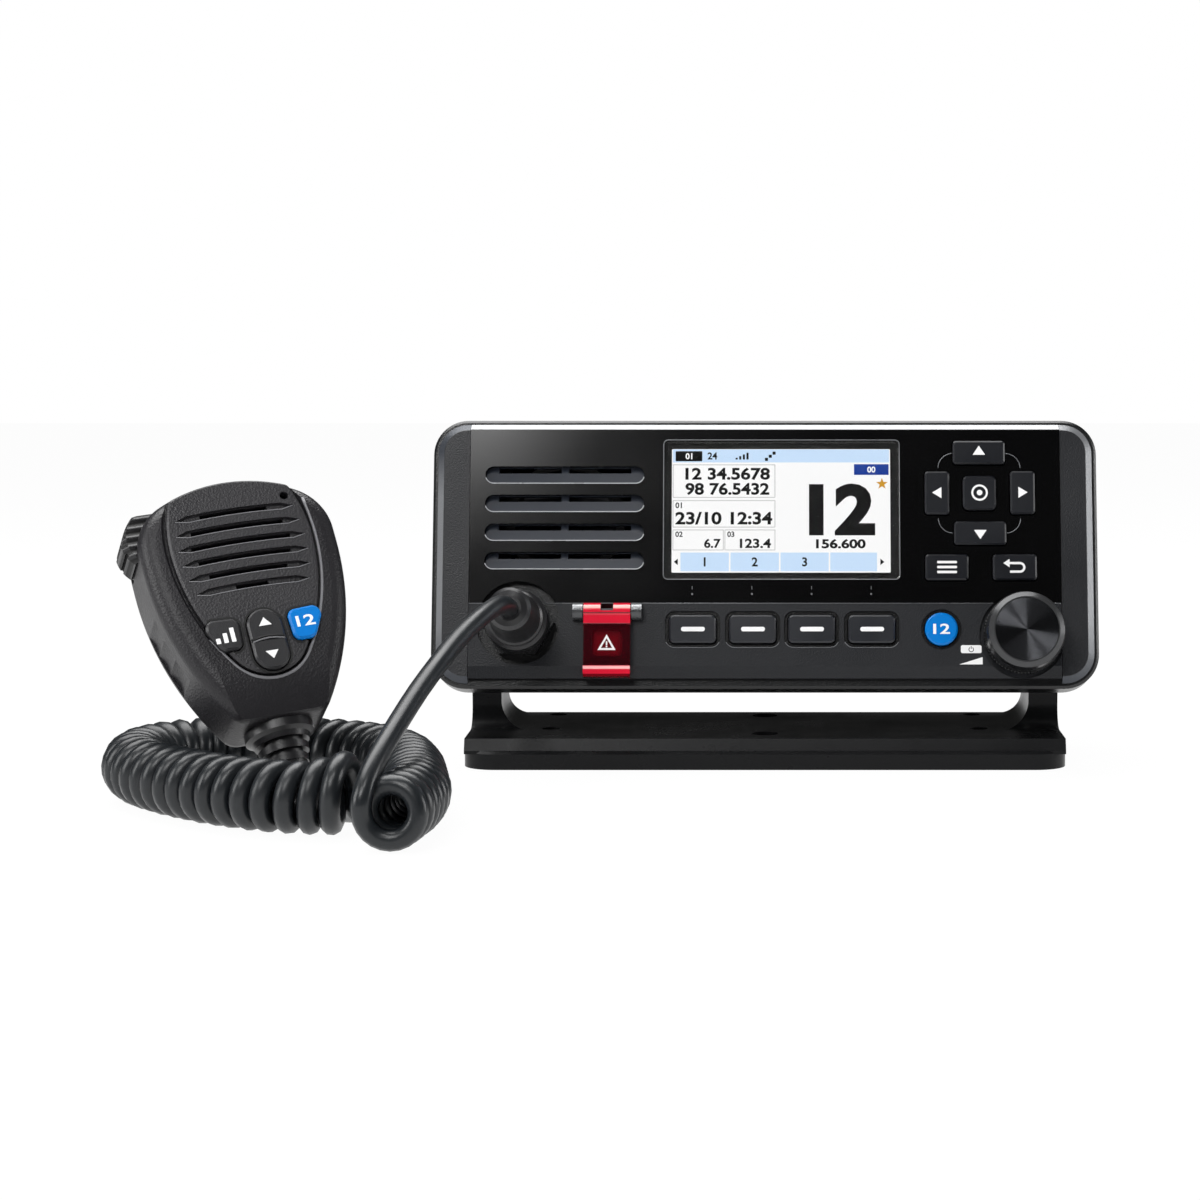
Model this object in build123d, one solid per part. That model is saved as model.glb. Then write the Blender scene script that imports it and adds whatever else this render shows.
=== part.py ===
from build123d import *
import math
import os

# Fixed-mount marine VHF radio on a tilting bracket, with its hand microphone
# standing inside the ring of its curly cord. Millimetres, +Z up, +Y to the back.
# Origin: centre of the bracket's foot, on the surface that it is screwed to.

os.makedirs("parts", exist_ok=True)

# ---------------------------------------------------------------- driving sizes
# front of the radio, in its own frame: x across, y back from the face, z up
FRONT_W = 201.0
FRONT_H = 82.0
FRONT_R = 10.5
BEZEL_DEPTH = 14.0
RIM_BACK = 2.6
RIM_EDGE = 0.8
CHEEK_INSET = 1.5
CHEEK_CHAMFER = 2.1
CHEEK_FACE_Y = 0.3
WALL = 2.4
SKIN = 2.4
FASCIA_HALF = 89.2
SEAM = 0.15
# the layout of the front was drawn for a fascia 178.4 wide on a front 82 high;
# places, widths and heights on it keep their share of those two
WIDE = FASCIA_HALF / 89.2
TALL = FRONT_H / 82.0
PANEL_LOW = 25.6 * TALL
PANEL_TOP = FRONT_H - 1.6
PANEL_CHAMFER = 1.8
FASCIA_LOW = 2.9
FASCIA_CREASE = 6.5
FASCIA_SLOPE_Y = 1.0

# die-cast chassis behind the front
CHASSIS_HALF = 80.5
CHASSIS_LOW = 6.0 * TALL
CHASSIS_TOP = FRONT_H - 6.0
CHASSIS_R = 5.0
CHASSIS_WALL = 3.0
CHASSIS_FLANGE_T = 2.4
SEAL_T = 1.2
SEAL_LEDGE = 1.6
SEAL_FIT = 0.1
CHASSIS_DEPTH = 71.0
FIN_H = 10.0
BACK_FACE_Y = CHASSIS_DEPTH - FIN_H
BACK_WALL_Y = BACK_FACE_Y - CHASSIS_WALL
FIN_T = 1.8
FIN_PITCH = 6.0
FIN_TAPER = 4.0
FIN_X0 = 14.5 - CHASSIS_HALF
FIN_X1 = CHASSIS_HALF - 56.5
FIN_MARGIN = 1.5
MAIN_BOARD_Z = 18.0 * TALL
MAIN_BOARD_HALF = CHASSIS_HALF - 14.5
MAIN_BOARD_FRONT = BEZEL_DEPTH + 3.0
MAIN_BOARD_REAR = BACK_WALL_Y - 2.0
# parts on the main board: shares of its half width, shares of its depth, height
MAIN_BOARD_PARTS = ((-0.91, -0.45, 0.18, 0.85, 6.0), (0.15, 0.94, 0.49, 0.97, 4.0),
                    (-0.30, 0.03, 0.13, 0.74, 3.0))
CAPACITOR_R = 5.0
CAPACITOR_H = 10.4
BOARD_POST_X = MAIN_BOARD_HALF - 8.0
BOARD_POST_YS = (MAIN_BOARD_FRONT + 5.0, MAIN_BOARD_REAR - 4.0)

# tilt pivot, in the radio's own frame and on the bracket
PIVOT_BACK = 33.3
PIVOT_UP = FRONT_H / 2
PIVOT_Y = 9.0
PIVOT_Z = 57.0
TILT = 13.5

# bracket
LEG_IN = CHASSIS_HALF + 1.0
LEG_OUT = LEG_IN + 9.0
FOOT_W = 2 * LEG_OUT + 1.0
FOOT_D = 66.0
FOOT_R = 10.0
FOOT_T = 5.5
DECK_T = 9.0
DECK_FRONT = -31.0
DECK_REAR = 30.0
DECK_SLOPE = 1.6
LEG_HALF = 13.0
LEG_FLARE = 7.0
LEG_FILLET = 8.0
LEG_POCKET = 3.0
LEG_RIM = 3.2
SCREW_X = 66.0
SCREW_PITCH_Y = 32.0
SCREW_Y = 8.5
SCREW_R = 2.75
CENTRE_HOLE_R = 4.0
CENTRE_HOLE_FRONT = -18.4
CENTRE_HOLE_REAR = 22.0

# thumb knobs of the bracket
STUD_R = 3.0
STUD_CLEAR = 0.3
STUD_FIT = 0.05
KNOB_R = 12.0
KNOB_T = 8.0
KNOB_GAP = 0.5
KNOB_LOBES = 8
STUD_LENGTH = 9.0
WASHER_T = 0.7
WASHER_R = 9.0

# loudspeaker grille
SLOT_X = -60.5 * WIDE
SLOT_ZS = (64.7 * TALL, 56.0 * TALL, 47.2 * TALL, 38.5 * TALL)
SLOT_L = 48.0 * WIDE
SLOT_H = 5.2 * TALL
SLIT_L = 40.0 * WIDE
SLIT_H = 1.7 * TALL
GRILLE_RIB = 2.2
GRILLE_FIT = 0.15
GRILLE_MARGIN = 3.0
SPEAKER_R = 18.0 * WIDE
SPEAKER_X = SPEAKER_R + 2.0 - CHASSIS_HALF

# display
WINDOW_W = 71.4 * WIDE
WINDOW_H = 42.8 * TALL
WINDOW_R = 1.3
WINDOW_X = 5.0 * WIDE
WINDOW_Z = 54.1 * TALL
LENS_RECESS = 0.35
LENS_FIT = 0.15
SCREEN_W = 66.1 * WIDE
SCREEN_H = 37.7 * TALL
SCREEN_X = 4.85 * WIDE
SCREEN_Z = 53.65 * TALL
MODULE_RIM = 4.0

# keys: (name, x, z, width, height, corner radius)
SOFT_KEY_XS = (-21.7 * WIDE, -3.7 * WIDE, 14.0 * WIDE, 32.0 * WIDE)
SOFT_KEY_Z = 17.6 * TALL
SOFT_KEY_SIZE = (14.0 * WIDE, 8.4 * TALL, 1.5)
PANEL_KEYS = (
    ("up_key", 64.6 * WIDE, 71.4 * TALL, 15.7 * WIDE, 7.1 * TALL, 1.0),
    ("down_key", 64.8 * WIDE, 46.7 * TALL, 15.7 * WIDE, 7.1 * TALL, 1.0),
    ("left_key", 51.9 * WIDE, 59.0 * TALL, 7.4 * WIDE, 13.1 * TALL, 1.0),
    ("right_key", 77.7 * WIDE, 59.1 * TALL, 7.4 * WIDE, 13.1 * TALL, 1.0),
    ("enter_key", 64.7 * WIDE, 59.0 * TALL, 10.0 * WIDE, 10.4 * TALL, 1.6),
    ("menu_key", 54.7 * WIDE, 36.3 * TALL, 13.0 * WIDE, 7.8 * TALL, 1.0),
    ("clear_key", 75.1 * WIDE, 36.3 * TALL, 13.2 * WIDE, 7.8 * TALL, 1.0),
)
FIELD_X = 64.7 * WIDE
FIELD_Z = 59.05 * TALL
FIELD_W = 25.0 * WIDE
FIELD_H = 24.6 * TALL
FIELD_R = 3.5
FIELD_DEPTH = 0.5
CHANNEL_X = 52.9 * WIDE
CHANNEL_Z = 17.6 * TALL
CHANNEL_R = 4.9
CHANNEL_WELL_R = 6.1
KEY_GAP = 0.3
KEY_PROUD = 1.3
KEY_TRAVEL = 1.2
KEY_FLANGE = 0.8
KEY_FLANGE_T = 1.2
KEY_EDGE = 0.5
WELL_MARGIN = 1.3
WELL_DEPTH = 0.6

# what lies behind the front wall
MAT_T = 1.4
DOME_H = 0.5
DOME_R = 2.0
DOME_GAP = 0.1
BOARD_T = 1.6

# volume knob
DIAL_X = 77.3 * WIDE
DIAL_Z = 15.8 * TALL
DIAL_R = 11.7
DIAL_FACE_R = 9.8
DIAL_PROUD = 15.0
DIAL_GAP = 0.2
DIAL_BEVEL = 1.6
DIAL_WELL_R = 13.0
DIAL_WELL = 1.4
DIAL_PUSH = 0.8
DIAL_CAP_T = 0.8
SHAFT_R = 3.0
SHAFT_FIT = 0.05
BUSH_R = 4.4
ENCODER_W = 13.0
ENCODER_D = 6.0
PLUNGER_R = 5.0
PLUNGER_T = 1.4

# distress key and its cover
COVER_X = -47.3 * WIDE
COVER_W = 14.0 * WIDE
COVER_LOW = FASCIA_LOW
HINGE_Z = 22.8 * TALL
HINGE_Y = -1.4
BARREL_R = 2.6
PIN_R = 1.0
PIN_FIT = 0.05
EAR_R = 2.5
EAR_W = 3.0
EAR_GAP = 0.3
COVER_FRONT = -3.6
COVER_T = 1.4
COVER_SIDE = 1.2
COVER_SEAT = -0.3
COVER_LIP = 4.2
BARREL_NOTCH = 3.8
DISTRESS_Z = 13.7 * TALL
DISTRESS_SIZE = (8.5 * WIDE, 7.6 * TALL, 1.2)
DISTRESS_PROUD = 0.9

# cord gland of the radio
GLAND_X = -74.1 * WIDE
GLAND_Z = 19.6 * TALL
GLAND_WELL_R = 12.6
NUT_ACROSS = 22.0
NUT_T = 5.0
GLAND_STEM_R = 6.6
GLAND_FIT = 0.1
BOOT_R = 9.2
BOOT_TIP_R = 6.3
BOOT_LENGTH = 30.0

# rear fittings
ANTENNA_X = CHASSIS_HALF - 26.5
ANTENNA_Z = 56.0 * TALL
ANTENNA_FLANGE = 25.0
ANTENNA_FLANGE_T = 2.0
ANTENNA_R = 7.9
ANTENNA_L = 12.0
ANTENNA_BORE_R = 6.2
ANTENNA_PIN_R = 2.0
INLET_XS = (CHASSIS_HALF - 38.5, CHASSIS_HALF - 14.5)
INLET_Z = 24.0 * TALL
INLET_R = 6.5
INLET_PROUD = 5.0
INLET_BORE_R = 3.2
CASE_SCREWS = ((-77.0 * WIDE, 71.0 * TALL), (77.0 * WIDE, 71.0 * TALL),
               (-63.0 * WIDE, 11.0 * TALL), (63.0 * WIDE, 11.0 * TALL))
CASE_SCREW_R = 1.3
CASE_SCREW_HEAD_R = 2.9
CASE_SCREW_HEAD_T = 2.2
BOSS_R = 3.2

# microphone, in its own frame: z up from the tip of its boot, front towards -y
MIC_PLACE = (-129.0, -111.0, 9.5)
MIC_LEAN = -24.0
MIC_ROLL = -19.0
MIC_YAW = 27.0
MIC_TOP = 86.2
MIC_NECK_Z = 15.0
MIC_NECK_HALF = 12.2
NECK_SLOPE_TOP = 30.0
NECK_SLOPE_IN = 3.2
MIC_WIDE_HALF = 27.5
MIC_WIDE_LOW = 64.0
MIC_WIDE_HIGH = 68.0
MIC_DOME_R = 42.0
MIC_NECK_R = 5.0
MIC_FRONT = 13.5
MIC_BACK = 15.0
MIC_FRONT_EDGE = 4.8
MIC_BACK_EDGE = 8.0
MIC_WALL = 4.5
MIC_SKIN = 2.5
PLATE_HALF = 19.9
PLATE_WIDE_Z = 66.0
PLATE_SIDE_R = 62.3
PLATE_TOP = 84.7
PLATE_CORNER = (16.8, 81.3)
PLATE_CORNER_R = 2.0
PLATE_NOSE_R = 11.4
PLATE_GROOVE = 0.8
PLATE_GROOVE_BEVEL = 0.7
PLATE_T = 2.4
PLATE_PROUD = 0.7
# louvres: (half length, z of the ends, half length of the part that goes through)
MIC_SLOTS = ((16.8, 74.7, 9.5), (17.6, 70.2, 13.0), (18.0, 65.7, 14.0), (17.9, 61.2, 13.0),
             (17.3, 56.7, 11.0), (16.0, 52.3, 4.5))
MIC_SLOT_SAG = 0.8
MIC_SLOT_H = 2.0
MIC_SLOT_TAPER = 3.5
MIC_SPEAKER_R = 14.5
MIC_SPEAKER_Z = 62.5
MIC_HOLE_X = 14.9
MIC_HOLE_Z = 78.0
MIC_HOLE_R = 1.2
MIC_KEY_CORNERS = ((6.7, 43.4), (15.9, 43.9), (16.1, 40.6), (13.0, 34.5), (7.2, 34.3))
MIC_KEY_CORNER_R = 2.3
ROCKER_AXIS_Y = -12.0
ROCKER_RIB_R = 5.0
ROCKER_RIB_HALF = 3.0
MIC_POSTS = ((-13.0, 76.0), (13.0, 76.0), (0.0, 28.5))
MIC_MAT_W = 34.0
MIC_MAT_H = 19.0
MIC_MAT_Z = 38.0
MIC_MAT_T = 1.2
STUD_Z = 62.0
STUD_HEAD_R = 7.5
STUD_NECK_R = 4.0
STUD_PROUD = 6.8
MIC_ROCKER_Z = 36.0
MIC_ROCKER_W = 9.8
MIC_ROCKER_H = 18.0
MIC_KEY_PROUD = 1.2
MIC_KEY_TRAVEL = 1.0
ROCKER_CLEAR = 0.7
PTT_Z = 74.5
PTT_H = 15.0
PTT_W = 14.0
PTT_PROUD = 4.2
PTT_ROUND_R = 9.6
PTT_ROUND_X = -21.2
PTT_RIBS = 5
PTT_BEVEL = 1.6
PTT_TRAVEL = 1.4
PTT_POCKET = 2.0
PTT_GAP = 0.4
MIC_BOOT_TIP_R = 5.2
MIC_BOOT_R = 8.2
MIC_COLLAR_R = 9.6
MIC_SCREW_R = 1.2
GRIP_ZS = (46.0, 39.5, 33.0)
GRIP_R = 9.0
GRIP_DEPTH = 0.55
GRIP_HALF_Y = 6.0

# cord
CABLE_D = 5.6
COIL_D = 20.0

# ------------------------------------------------------------------ frames
TO_RADIO = Pos(0, PIVOT_Y, PIVOT_Z) * Rot(-TILT, 0, 0) * Pos(0, -PIVOT_BACK, -PIVOT_UP)
TO_MIC = Pos(*MIC_PLACE) * Rot(0, MIC_ROLL, 0) * Rot(MIC_LEAN, 0, 0) * Rot(0, 0, MIC_YAW)

NODES = {}


def keep(name, shape, place=None):
    """Store a finished piece under its node name, set in the whole object's frame."""
    NODES[name] = shape if place is None else place * shape


def keep_group(name, shapes, place):
    """Store identical pieces as one node of separate solids."""
    NODES[name] = Compound([(place * shape).solid() for shape in shapes])


def slab(outline, y_front, y_back):
    """A front-view outline given depth, from y_front back to y_back."""
    return extrude(Plane.XZ.offset(-y_back) * outline, amount=y_back - y_front)


def box(x0, x1, y0, y1, z0, z1):
    """A plain block between two corners."""
    return Pos((x0 + x1) / 2, (y0 + y1) / 2, (z0 + z1) / 2) * Box(x1 - x0, y1 - y0, z1 - z0)


def rod_y(x, z, radius, y0, y1):
    """A round bar along y."""
    return Pos(x, (y0 + y1) / 2, z) * Rot(90, 0, 0) * Cylinder(radius, y1 - y0)


def rod_x(y, z, radius, x0, x1):
    """A round bar along x."""
    return Pos((x0 + x1) / 2, y, z) * Rot(0, 90, 0) * Cylinder(radius, x1 - x0)


def rounded(width, height, radius, x=0.0, z=0.0):
    """A rounded rectangle in the front view."""
    return Pos(x, z) * RectangleRounded(width, height, radius)


def turned(points, x, z):
    """A solid of revolution about a line along y; points are (radius, y)."""
    profile = make_face(Polyline(*[(r, y, 0) for r, y in points], close=True))
    return Pos(x, 0, z) * revolve(profile, Axis.Y)


# ------------------------------------------------------------------ bracket
def mounting_bracket():
    foot = extrude(RectangleRounded(FOOT_W, FOOT_D, FOOT_R), amount=FOOT_T)
    foot = chamfer(foot.faces().sort_by(Axis.Z)[-1].edges(), length=0.8)
    side = FOOT_T - 1.0
    inner_top = Line((-LEG_IN + LEG_FILLET, DECK_T), (LEG_IN - LEG_FILLET, DECK_T))
    right = TangentArc((LEG_IN - LEG_FILLET, DECK_T), (LEG_IN, DECK_T + LEG_FILLET), tangent=(1, 0))
    left = TangentArc((-LEG_IN + LEG_FILLET, DECK_T), (-LEG_IN, DECK_T + LEG_FILLET), tangent=(-1, 0))
    top = PIVOT_Z + LEG_HALF
    outer = Polyline(
        (LEG_IN, DECK_T + LEG_FILLET), (LEG_IN, top), (LEG_OUT, top), (LEG_OUT, side),
        (-LEG_OUT, side), (-LEG_OUT, top), (-LEG_IN, top), (-LEG_IN, DECK_T + LEG_FILLET))
    u_face = make_face([inner_top, right, left, outer])
    u_shape = extrude(Plane.XZ.offset(-FOOT_D / 2) * u_face, amount=FOOT_D)
    y0 = PIVOT_Y - LEG_HALF
    y1 = PIVOT_Y + LEG_HALF
    flare_top = DECK_T + LEG_FLARE
    run = [
        Line((DECK_FRONT, side), (DECK_FRONT, FOOT_T)),
        Line((DECK_FRONT, FOOT_T), (DECK_FRONT + DECK_SLOPE, DECK_T)),
        Line((DECK_FRONT + DECK_SLOPE, DECK_T), (y0 - LEG_FLARE, DECK_T)),
        TangentArc((y0 - LEG_FLARE, DECK_T), (y0, flare_top), tangent=(1, 0)),
        Line((y0, flare_top), (y0, PIVOT_Z)),
        ThreePointArc((y0, PIVOT_Z), (PIVOT_Y, PIVOT_Z + LEG_HALF), (y1, PIVOT_Z)),
        Line((y1, PIVOT_Z), (y1, flare_top)),
        TangentArc((y1 + LEG_FLARE, DECK_T), (y1, flare_top), tangent=(-1, 0)),
        Line((y1 + LEG_FLARE, DECK_T), (DECK_REAR, DECK_T)),
        Line((DECK_REAR, DECK_T), (DECK_REAR, side)),
        Line((DECK_REAR, side), (DECK_FRONT, side)),
    ]
    side_shape = extrude(Plane.YZ.offset(-FOOT_W / 2) * make_face(run), amount=FOOT_W)
    body = foot + (u_shape & side_shape)
    pocket_low = DECK_T + LEG_FLARE
    pocket_high = PIVOT_Z - KNOB_R - 1.5
    for sign in (-1, 1):
        middle = (pocket_low + pocket_high) / 2
        outline = Pos(PIVOT_Y, middle) * RectangleRounded(
            2 * (LEG_HALF - LEG_RIM), pocket_high - pocket_low, 3.0)
        start = LEG_OUT - LEG_POCKET
        pocket = extrude(Plane.YZ.offset(start if sign > 0 else -LEG_OUT - 1.0) * outline,
                         amount=LEG_POCKET + 1.0)
        body -= pocket
        ends = (LEG_IN - 1, LEG_OUT + 1) if sign > 0 else (-LEG_OUT - 1, -LEG_IN + 1)
        body -= rod_x(PIVOT_Y, PIVOT_Z, STUD_R + STUD_CLEAR, *ends)
        for row in (-1, 1):
            body -= Pos(sign * SCREW_X, SCREW_Y + row * SCREW_PITCH_Y / 2, DECK_T / 2) * Cylinder(
                SCREW_R, DECK_T + 2)
    for y in (CENTRE_HOLE_FRONT, CENTRE_HOLE_REAR):
        body -= Pos(0, y, DECK_T / 2) * Cylinder(CENTRE_HOLE_R, DECK_T + 2)
    keep("mounting_bracket", body)


def thumb_knobs():
    """A lobed hand knob with its stud, one each side, and the friction washers."""
    washers = []
    for name, sign in (("thumb_knob_left", -1), ("thumb_knob_right", 1)):
        seat = LEG_OUT + KNOB_GAP
        grip = Pos(0, 0, KNOB_T / 2) * Cylinder(KNOB_R, KNOB_T)
        grip = chamfer(grip.edges().filter_by(GeomType.CIRCLE).sort_by(Axis.Z)[-1], length=1.5)
        for lobe in range(KNOB_LOBES):
            turn = Rot(0, 0, 360 * lobe / KNOB_LOBES)
            grip -= turn * Pos(KNOB_R + 1.6, 0, KNOB_T / 2) * Cylinder(3.0, KNOB_T + 1)
        reach = LEG_OUT + KNOB_GAP - CHASSIS_HALF + STUD_LENGTH - 1.0
        stud = Pos(0, 0, -reach / 2 + 0.5) * Cylinder(STUD_R, reach + 1.0)
        knob = grip + stud
        keep(name, Pos(sign * seat, PIVOT_Y, PIVOT_Z) * Rot(0, sign * 90, 0) * knob)
        a, b = sorted((sign * CHASSIS_HALF, sign * (CHASSIS_HALF + WASHER_T)))
        ring = rod_x(PIVOT_BACK, PIVOT_UP, WASHER_R, a, b)
        ring -= rod_x(PIVOT_BACK, PIVOT_UP, STUD_R + STUD_CLEAR, a - 1, b + 1)
        washers.append(ring)
    keep_group("tilt_washers", washers, TO_RADIO)


# ------------------------------------------------------------ front of the radio
MID_Z = FRONT_H / 2
SKIN_Y = RIM_BACK + SKIN
FLANGE_Y = SKIN_Y + KEY_FLANGE_T
DOME_Y = FLANGE_Y + KEY_TRAVEL + DOME_GAP
MAT_Y = DOME_Y + DOME_H
BOARD_Y = MAT_Y + MAT_T
CHASSIS_Y = BEZEL_DEPTH - CHASSIS_FLANGE_T
LEDGE_Y = CHASSIS_Y - SEAL_T
DOOR_KEY = ("distress_key", COVER_X, DISTRESS_Z) + DISTRESS_SIZE


def front_outline(inset):
    """The rounded outline of the front, drawn in by inset."""
    return rounded(FRONT_W - 2 * inset, FRONT_H - 2 * inset, FRONT_R - inset, 0, MID_Z)


def flat_keys():
    """Every rectangular key of the front, as (name, x, z, width, height, radius)."""
    width, height, radius = SOFT_KEY_SIZE
    soft = [("soft_key_%d" % (i + 1), x, SOFT_KEY_Z, width, height, radius)
            for i, x in enumerate(SOFT_KEY_XS)]
    return soft + list(PANEL_KEYS) + [DOOR_KEY]


def key_holes(y_front, y_back):
    """The clearance holes of all the keys, cut through a wall."""
    cuts = []
    for _, x, z, width, height, radius in flat_keys():
        hole = rounded(width + 2 * KEY_GAP, height + 2 * KEY_GAP, radius + KEY_GAP, x, z)
        cuts.append(slab(hole, y_front, y_back))
    cuts.append(rod_y(CHANNEL_X, CHANNEL_Z, CHANNEL_R + KEY_GAP, y_front, y_back))
    return cuts


def grille_outline(margin):
    """The rectangle that the grille insert fills in the front wall."""
    low = SLOT_ZS[-1] - SLOT_H / 2 - GRILLE_MARGIN
    high = SLOT_ZS[0] + SLOT_H / 2 + GRILLE_MARGIN
    return rounded(SLOT_L + 2 * GRILLE_MARGIN + 2 * margin, high - low + 2 * margin, 2.0 + margin,
                   SLOT_X, (low + high) / 2)


def front_housing():
    shell = slab(front_outline(0), RIM_BACK, BEZEL_DEPTH)
    shell = chamfer(shell.faces().sort_by(Axis.Y)[0].edges(), length=RIM_EDGE)
    cheeks = slab(front_outline(CHEEK_INSET), CHEEK_FACE_Y, RIM_BACK)
    cheeks = chamfer(cheeks.faces().sort_by(Axis.Y)[0].edges(), length=CHEEK_CHAMFER)
    cheeks -= box(-FASCIA_HALF, FASCIA_HALF, CHEEK_FACE_Y - 1, RIM_BACK, -1, FRONT_H + 1)
    shell += cheeks
    shell -= slab(front_outline(WALL), LEDGE_Y, BEZEL_DEPTH + 1)
    shell -= slab(front_outline(WALL + SEAL_LEDGE), SKIN_Y, BEZEL_DEPTH)
    for x, z in CASE_SCREWS:
        shell += rod_y(x, z, BOSS_R, SKIN_Y - 0.5, CHASSIS_Y)
        shell -= rod_y(x, z, CASE_SCREW_R + STUD_FIT, SKIN_Y, BEZEL_DEPTH)
    shell -= slab(grille_outline(GRILLE_FIT), RIM_BACK - 1, SKIN_Y + 1)
    shell -= slab(rounded(SCREEN_W + 2 * LENS_FIT, SCREEN_H + 2 * LENS_FIT, 1.0, SCREEN_X, SCREEN_Z),
                  RIM_BACK - 1, SKIN_Y + 1)
    for cut in key_holes(RIM_BACK - 1, SKIN_Y + 1):
        shell -= cut
    shell -= rod_y(DIAL_X, DIAL_Z, BUSH_R + LENS_FIT, RIM_BACK - 1, SKIN_Y + 1)
    shell -= rod_y(GLAND_X, GLAND_Z, GLAND_STEM_R + GLAND_FIT, RIM_BACK - 1, SKIN_Y + 1)
    keep("front_housing", shell, TO_RADIO)


def gloss_panel():
    half = FASCIA_HALF - SEAM
    panel = box(-half, half, 0, RIM_BACK, PANEL_LOW, PANEL_TOP)
    top_front = panel.edges().filter_by(Axis.X).sort_by(Axis.Z)[-2:].sort_by(Axis.Y)[0]
    panel = chamfer(top_front, length=PANEL_CHAMFER)
    for z in SLOT_ZS:
        panel -= slab(Pos(SLOT_X, z) * SlotOverall(SLOT_L, SLOT_H), -1, RIM_BACK + 1)
    window = rounded(WINDOW_W, WINDOW_H, WINDOW_R, WINDOW_X, WINDOW_Z)
    panel -= slab(window, -1, RIM_BACK + 1)
    panel -= slab(rounded(FIELD_W, FIELD_H, FIELD_R, FIELD_X, FIELD_Z), -1, FIELD_DEPTH)
    for cut in key_holes(-1, RIM_BACK + 1):
        panel -= cut
    panel -= rod_y(GLAND_X, GLAND_Z, GLAND_WELL_R, -1, RIM_BACK + 1)
    panel -= rod_y(DIAL_X, DIAL_Z, DIAL_WELL_R, -1, RIM_BACK + 1)
    keep("gloss_panel", panel, TO_RADIO)


def lower_fascia():
    half = FASCIA_HALF - SEAM
    top = PANEL_LOW - SEAM
    profile = Polyline(
        (0, top), (0, FASCIA_CREASE), (FASCIA_SLOPE_Y, FASCIA_LOW), (RIM_BACK, FASCIA_LOW),
        (RIM_BACK, top), close=True)
    body = extrude(Plane.YZ.offset(-half) * make_face(profile), amount=2 * half)
    for x in SOFT_KEY_XS:
        width, height, radius = SOFT_KEY_SIZE
        well = rounded(width + 2 * WELL_MARGIN, height + 2 * WELL_MARGIN, radius + WELL_MARGIN,
                       x, SOFT_KEY_Z)
        body -= slab(well, -1, WELL_DEPTH)
    body -= rod_y(CHANNEL_X, CHANNEL_Z, CHANNEL_WELL_R, -1, WELL_DEPTH)
    body -= rod_y(GLAND_X, GLAND_Z, GLAND_WELL_R, -1, RIM_BACK + 1)
    body -= rod_y(DIAL_X, DIAL_Z, DIAL_WELL_R, -1, DIAL_WELL)
    body -= rod_y(DIAL_X, DIAL_Z, BUSH_R + LENS_FIT, -1, RIM_BACK + 1)
    ear_in = COVER_W / 2 + EAR_GAP
    for sign in (-1, 1):
        a, b = sorted((COVER_X + sign * ear_in, COVER_X + sign * (ear_in + EAR_W)))
        ear = rod_x(HINGE_Y, HINGE_Z, EAR_R, a, b)
        ear += box(a, b, HINGE_Y, 0.5, HINGE_Z - EAR_R, HINGE_Z + EAR_R)
        body += ear
    body -= rod_x(HINGE_Y, HINGE_Z, BARREL_R + EAR_GAP, COVER_X - ear_in, COVER_X + ear_in)
    body -= rod_x(HINGE_Y, HINGE_Z, PIN_R, COVER_X - ear_in - EAR_W + 1.0, COVER_X + ear_in + EAR_W - 1.0)
    for cut in key_holes(-1, RIM_BACK + 1):
        body -= cut
    keep("lower_fascia", body, TO_RADIO)


def speaker_grille():
    """An insert whose sloped louvres stand in the panel's slots, each over a slit."""
    plate = slab(grille_outline(0), RIM_BACK, SKIN_Y)
    for z in SLOT_ZS:
        fit = 2 * GRILLE_FIT
        louvre = slab(Pos(SLOT_X, z) * SlotOverall(SLOT_L - fit, SLOT_H - fit), 0.5, RIM_BACK + 0.5)
        low = z - SLOT_H / 2
        high = z + SLOT_H / 2
        wedge = Polyline((0, low - 0.1), (0.9, low - 0.1), (RIM_BACK, high), (0, high), close=True)
        ramp = Plane.YZ.offset(SLOT_X - SLOT_L / 2 - 1) * make_face(wedge)
        louvre -= extrude(ramp, amount=SLOT_L + 2)
        plate += louvre
        slit_z = high - GRILLE_FIT - SLIT_H / 2
        for sign in (-1, 1):
            half = (SLIT_L - GRILLE_RIB) / 2
            middle = SLOT_X + sign * (GRILLE_RIB + half) / 2
            plate -= box(middle - half / 2, middle + half / 2, 0, SKIN_Y + 1,
                         slit_z - SLIT_H / 2, slit_z + SLIT_H / 2)
    keep("speaker_grille", plate, TO_RADIO)


def speaker():
    z = (SLOT_ZS[0] + SLOT_ZS[-1]) / 2
    front = SKIN_Y + 1.0
    keep("speaker_gasket", rod_y(SPEAKER_X, z, SPEAKER_R, SKIN_Y, front)
         - rod_y(SPEAKER_X, z, SPEAKER_R - 2.5, SKIN_Y - 1, front + 1), TO_RADIO)
    cone = 0.25 * SPEAKER_R
    magnet = 0.61 * SPEAKER_R
    basket = turned([
        (0, front + 6.5), (cone, front + 6.5), (cone + 1, front + 5.0), (SPEAKER_R - 3.5, front + 1.2),
        (SPEAKER_R - 2.5, front), (SPEAKER_R, front), (SPEAKER_R, front + 1.6),
        (SPEAKER_R - 4, front + 4.0), (magnet, front + 8.0), (magnet, front + 15.0), (0, front + 15.0)],
        SPEAKER_X, z)
    keep("speaker_driver", basket, TO_RADIO)


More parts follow.
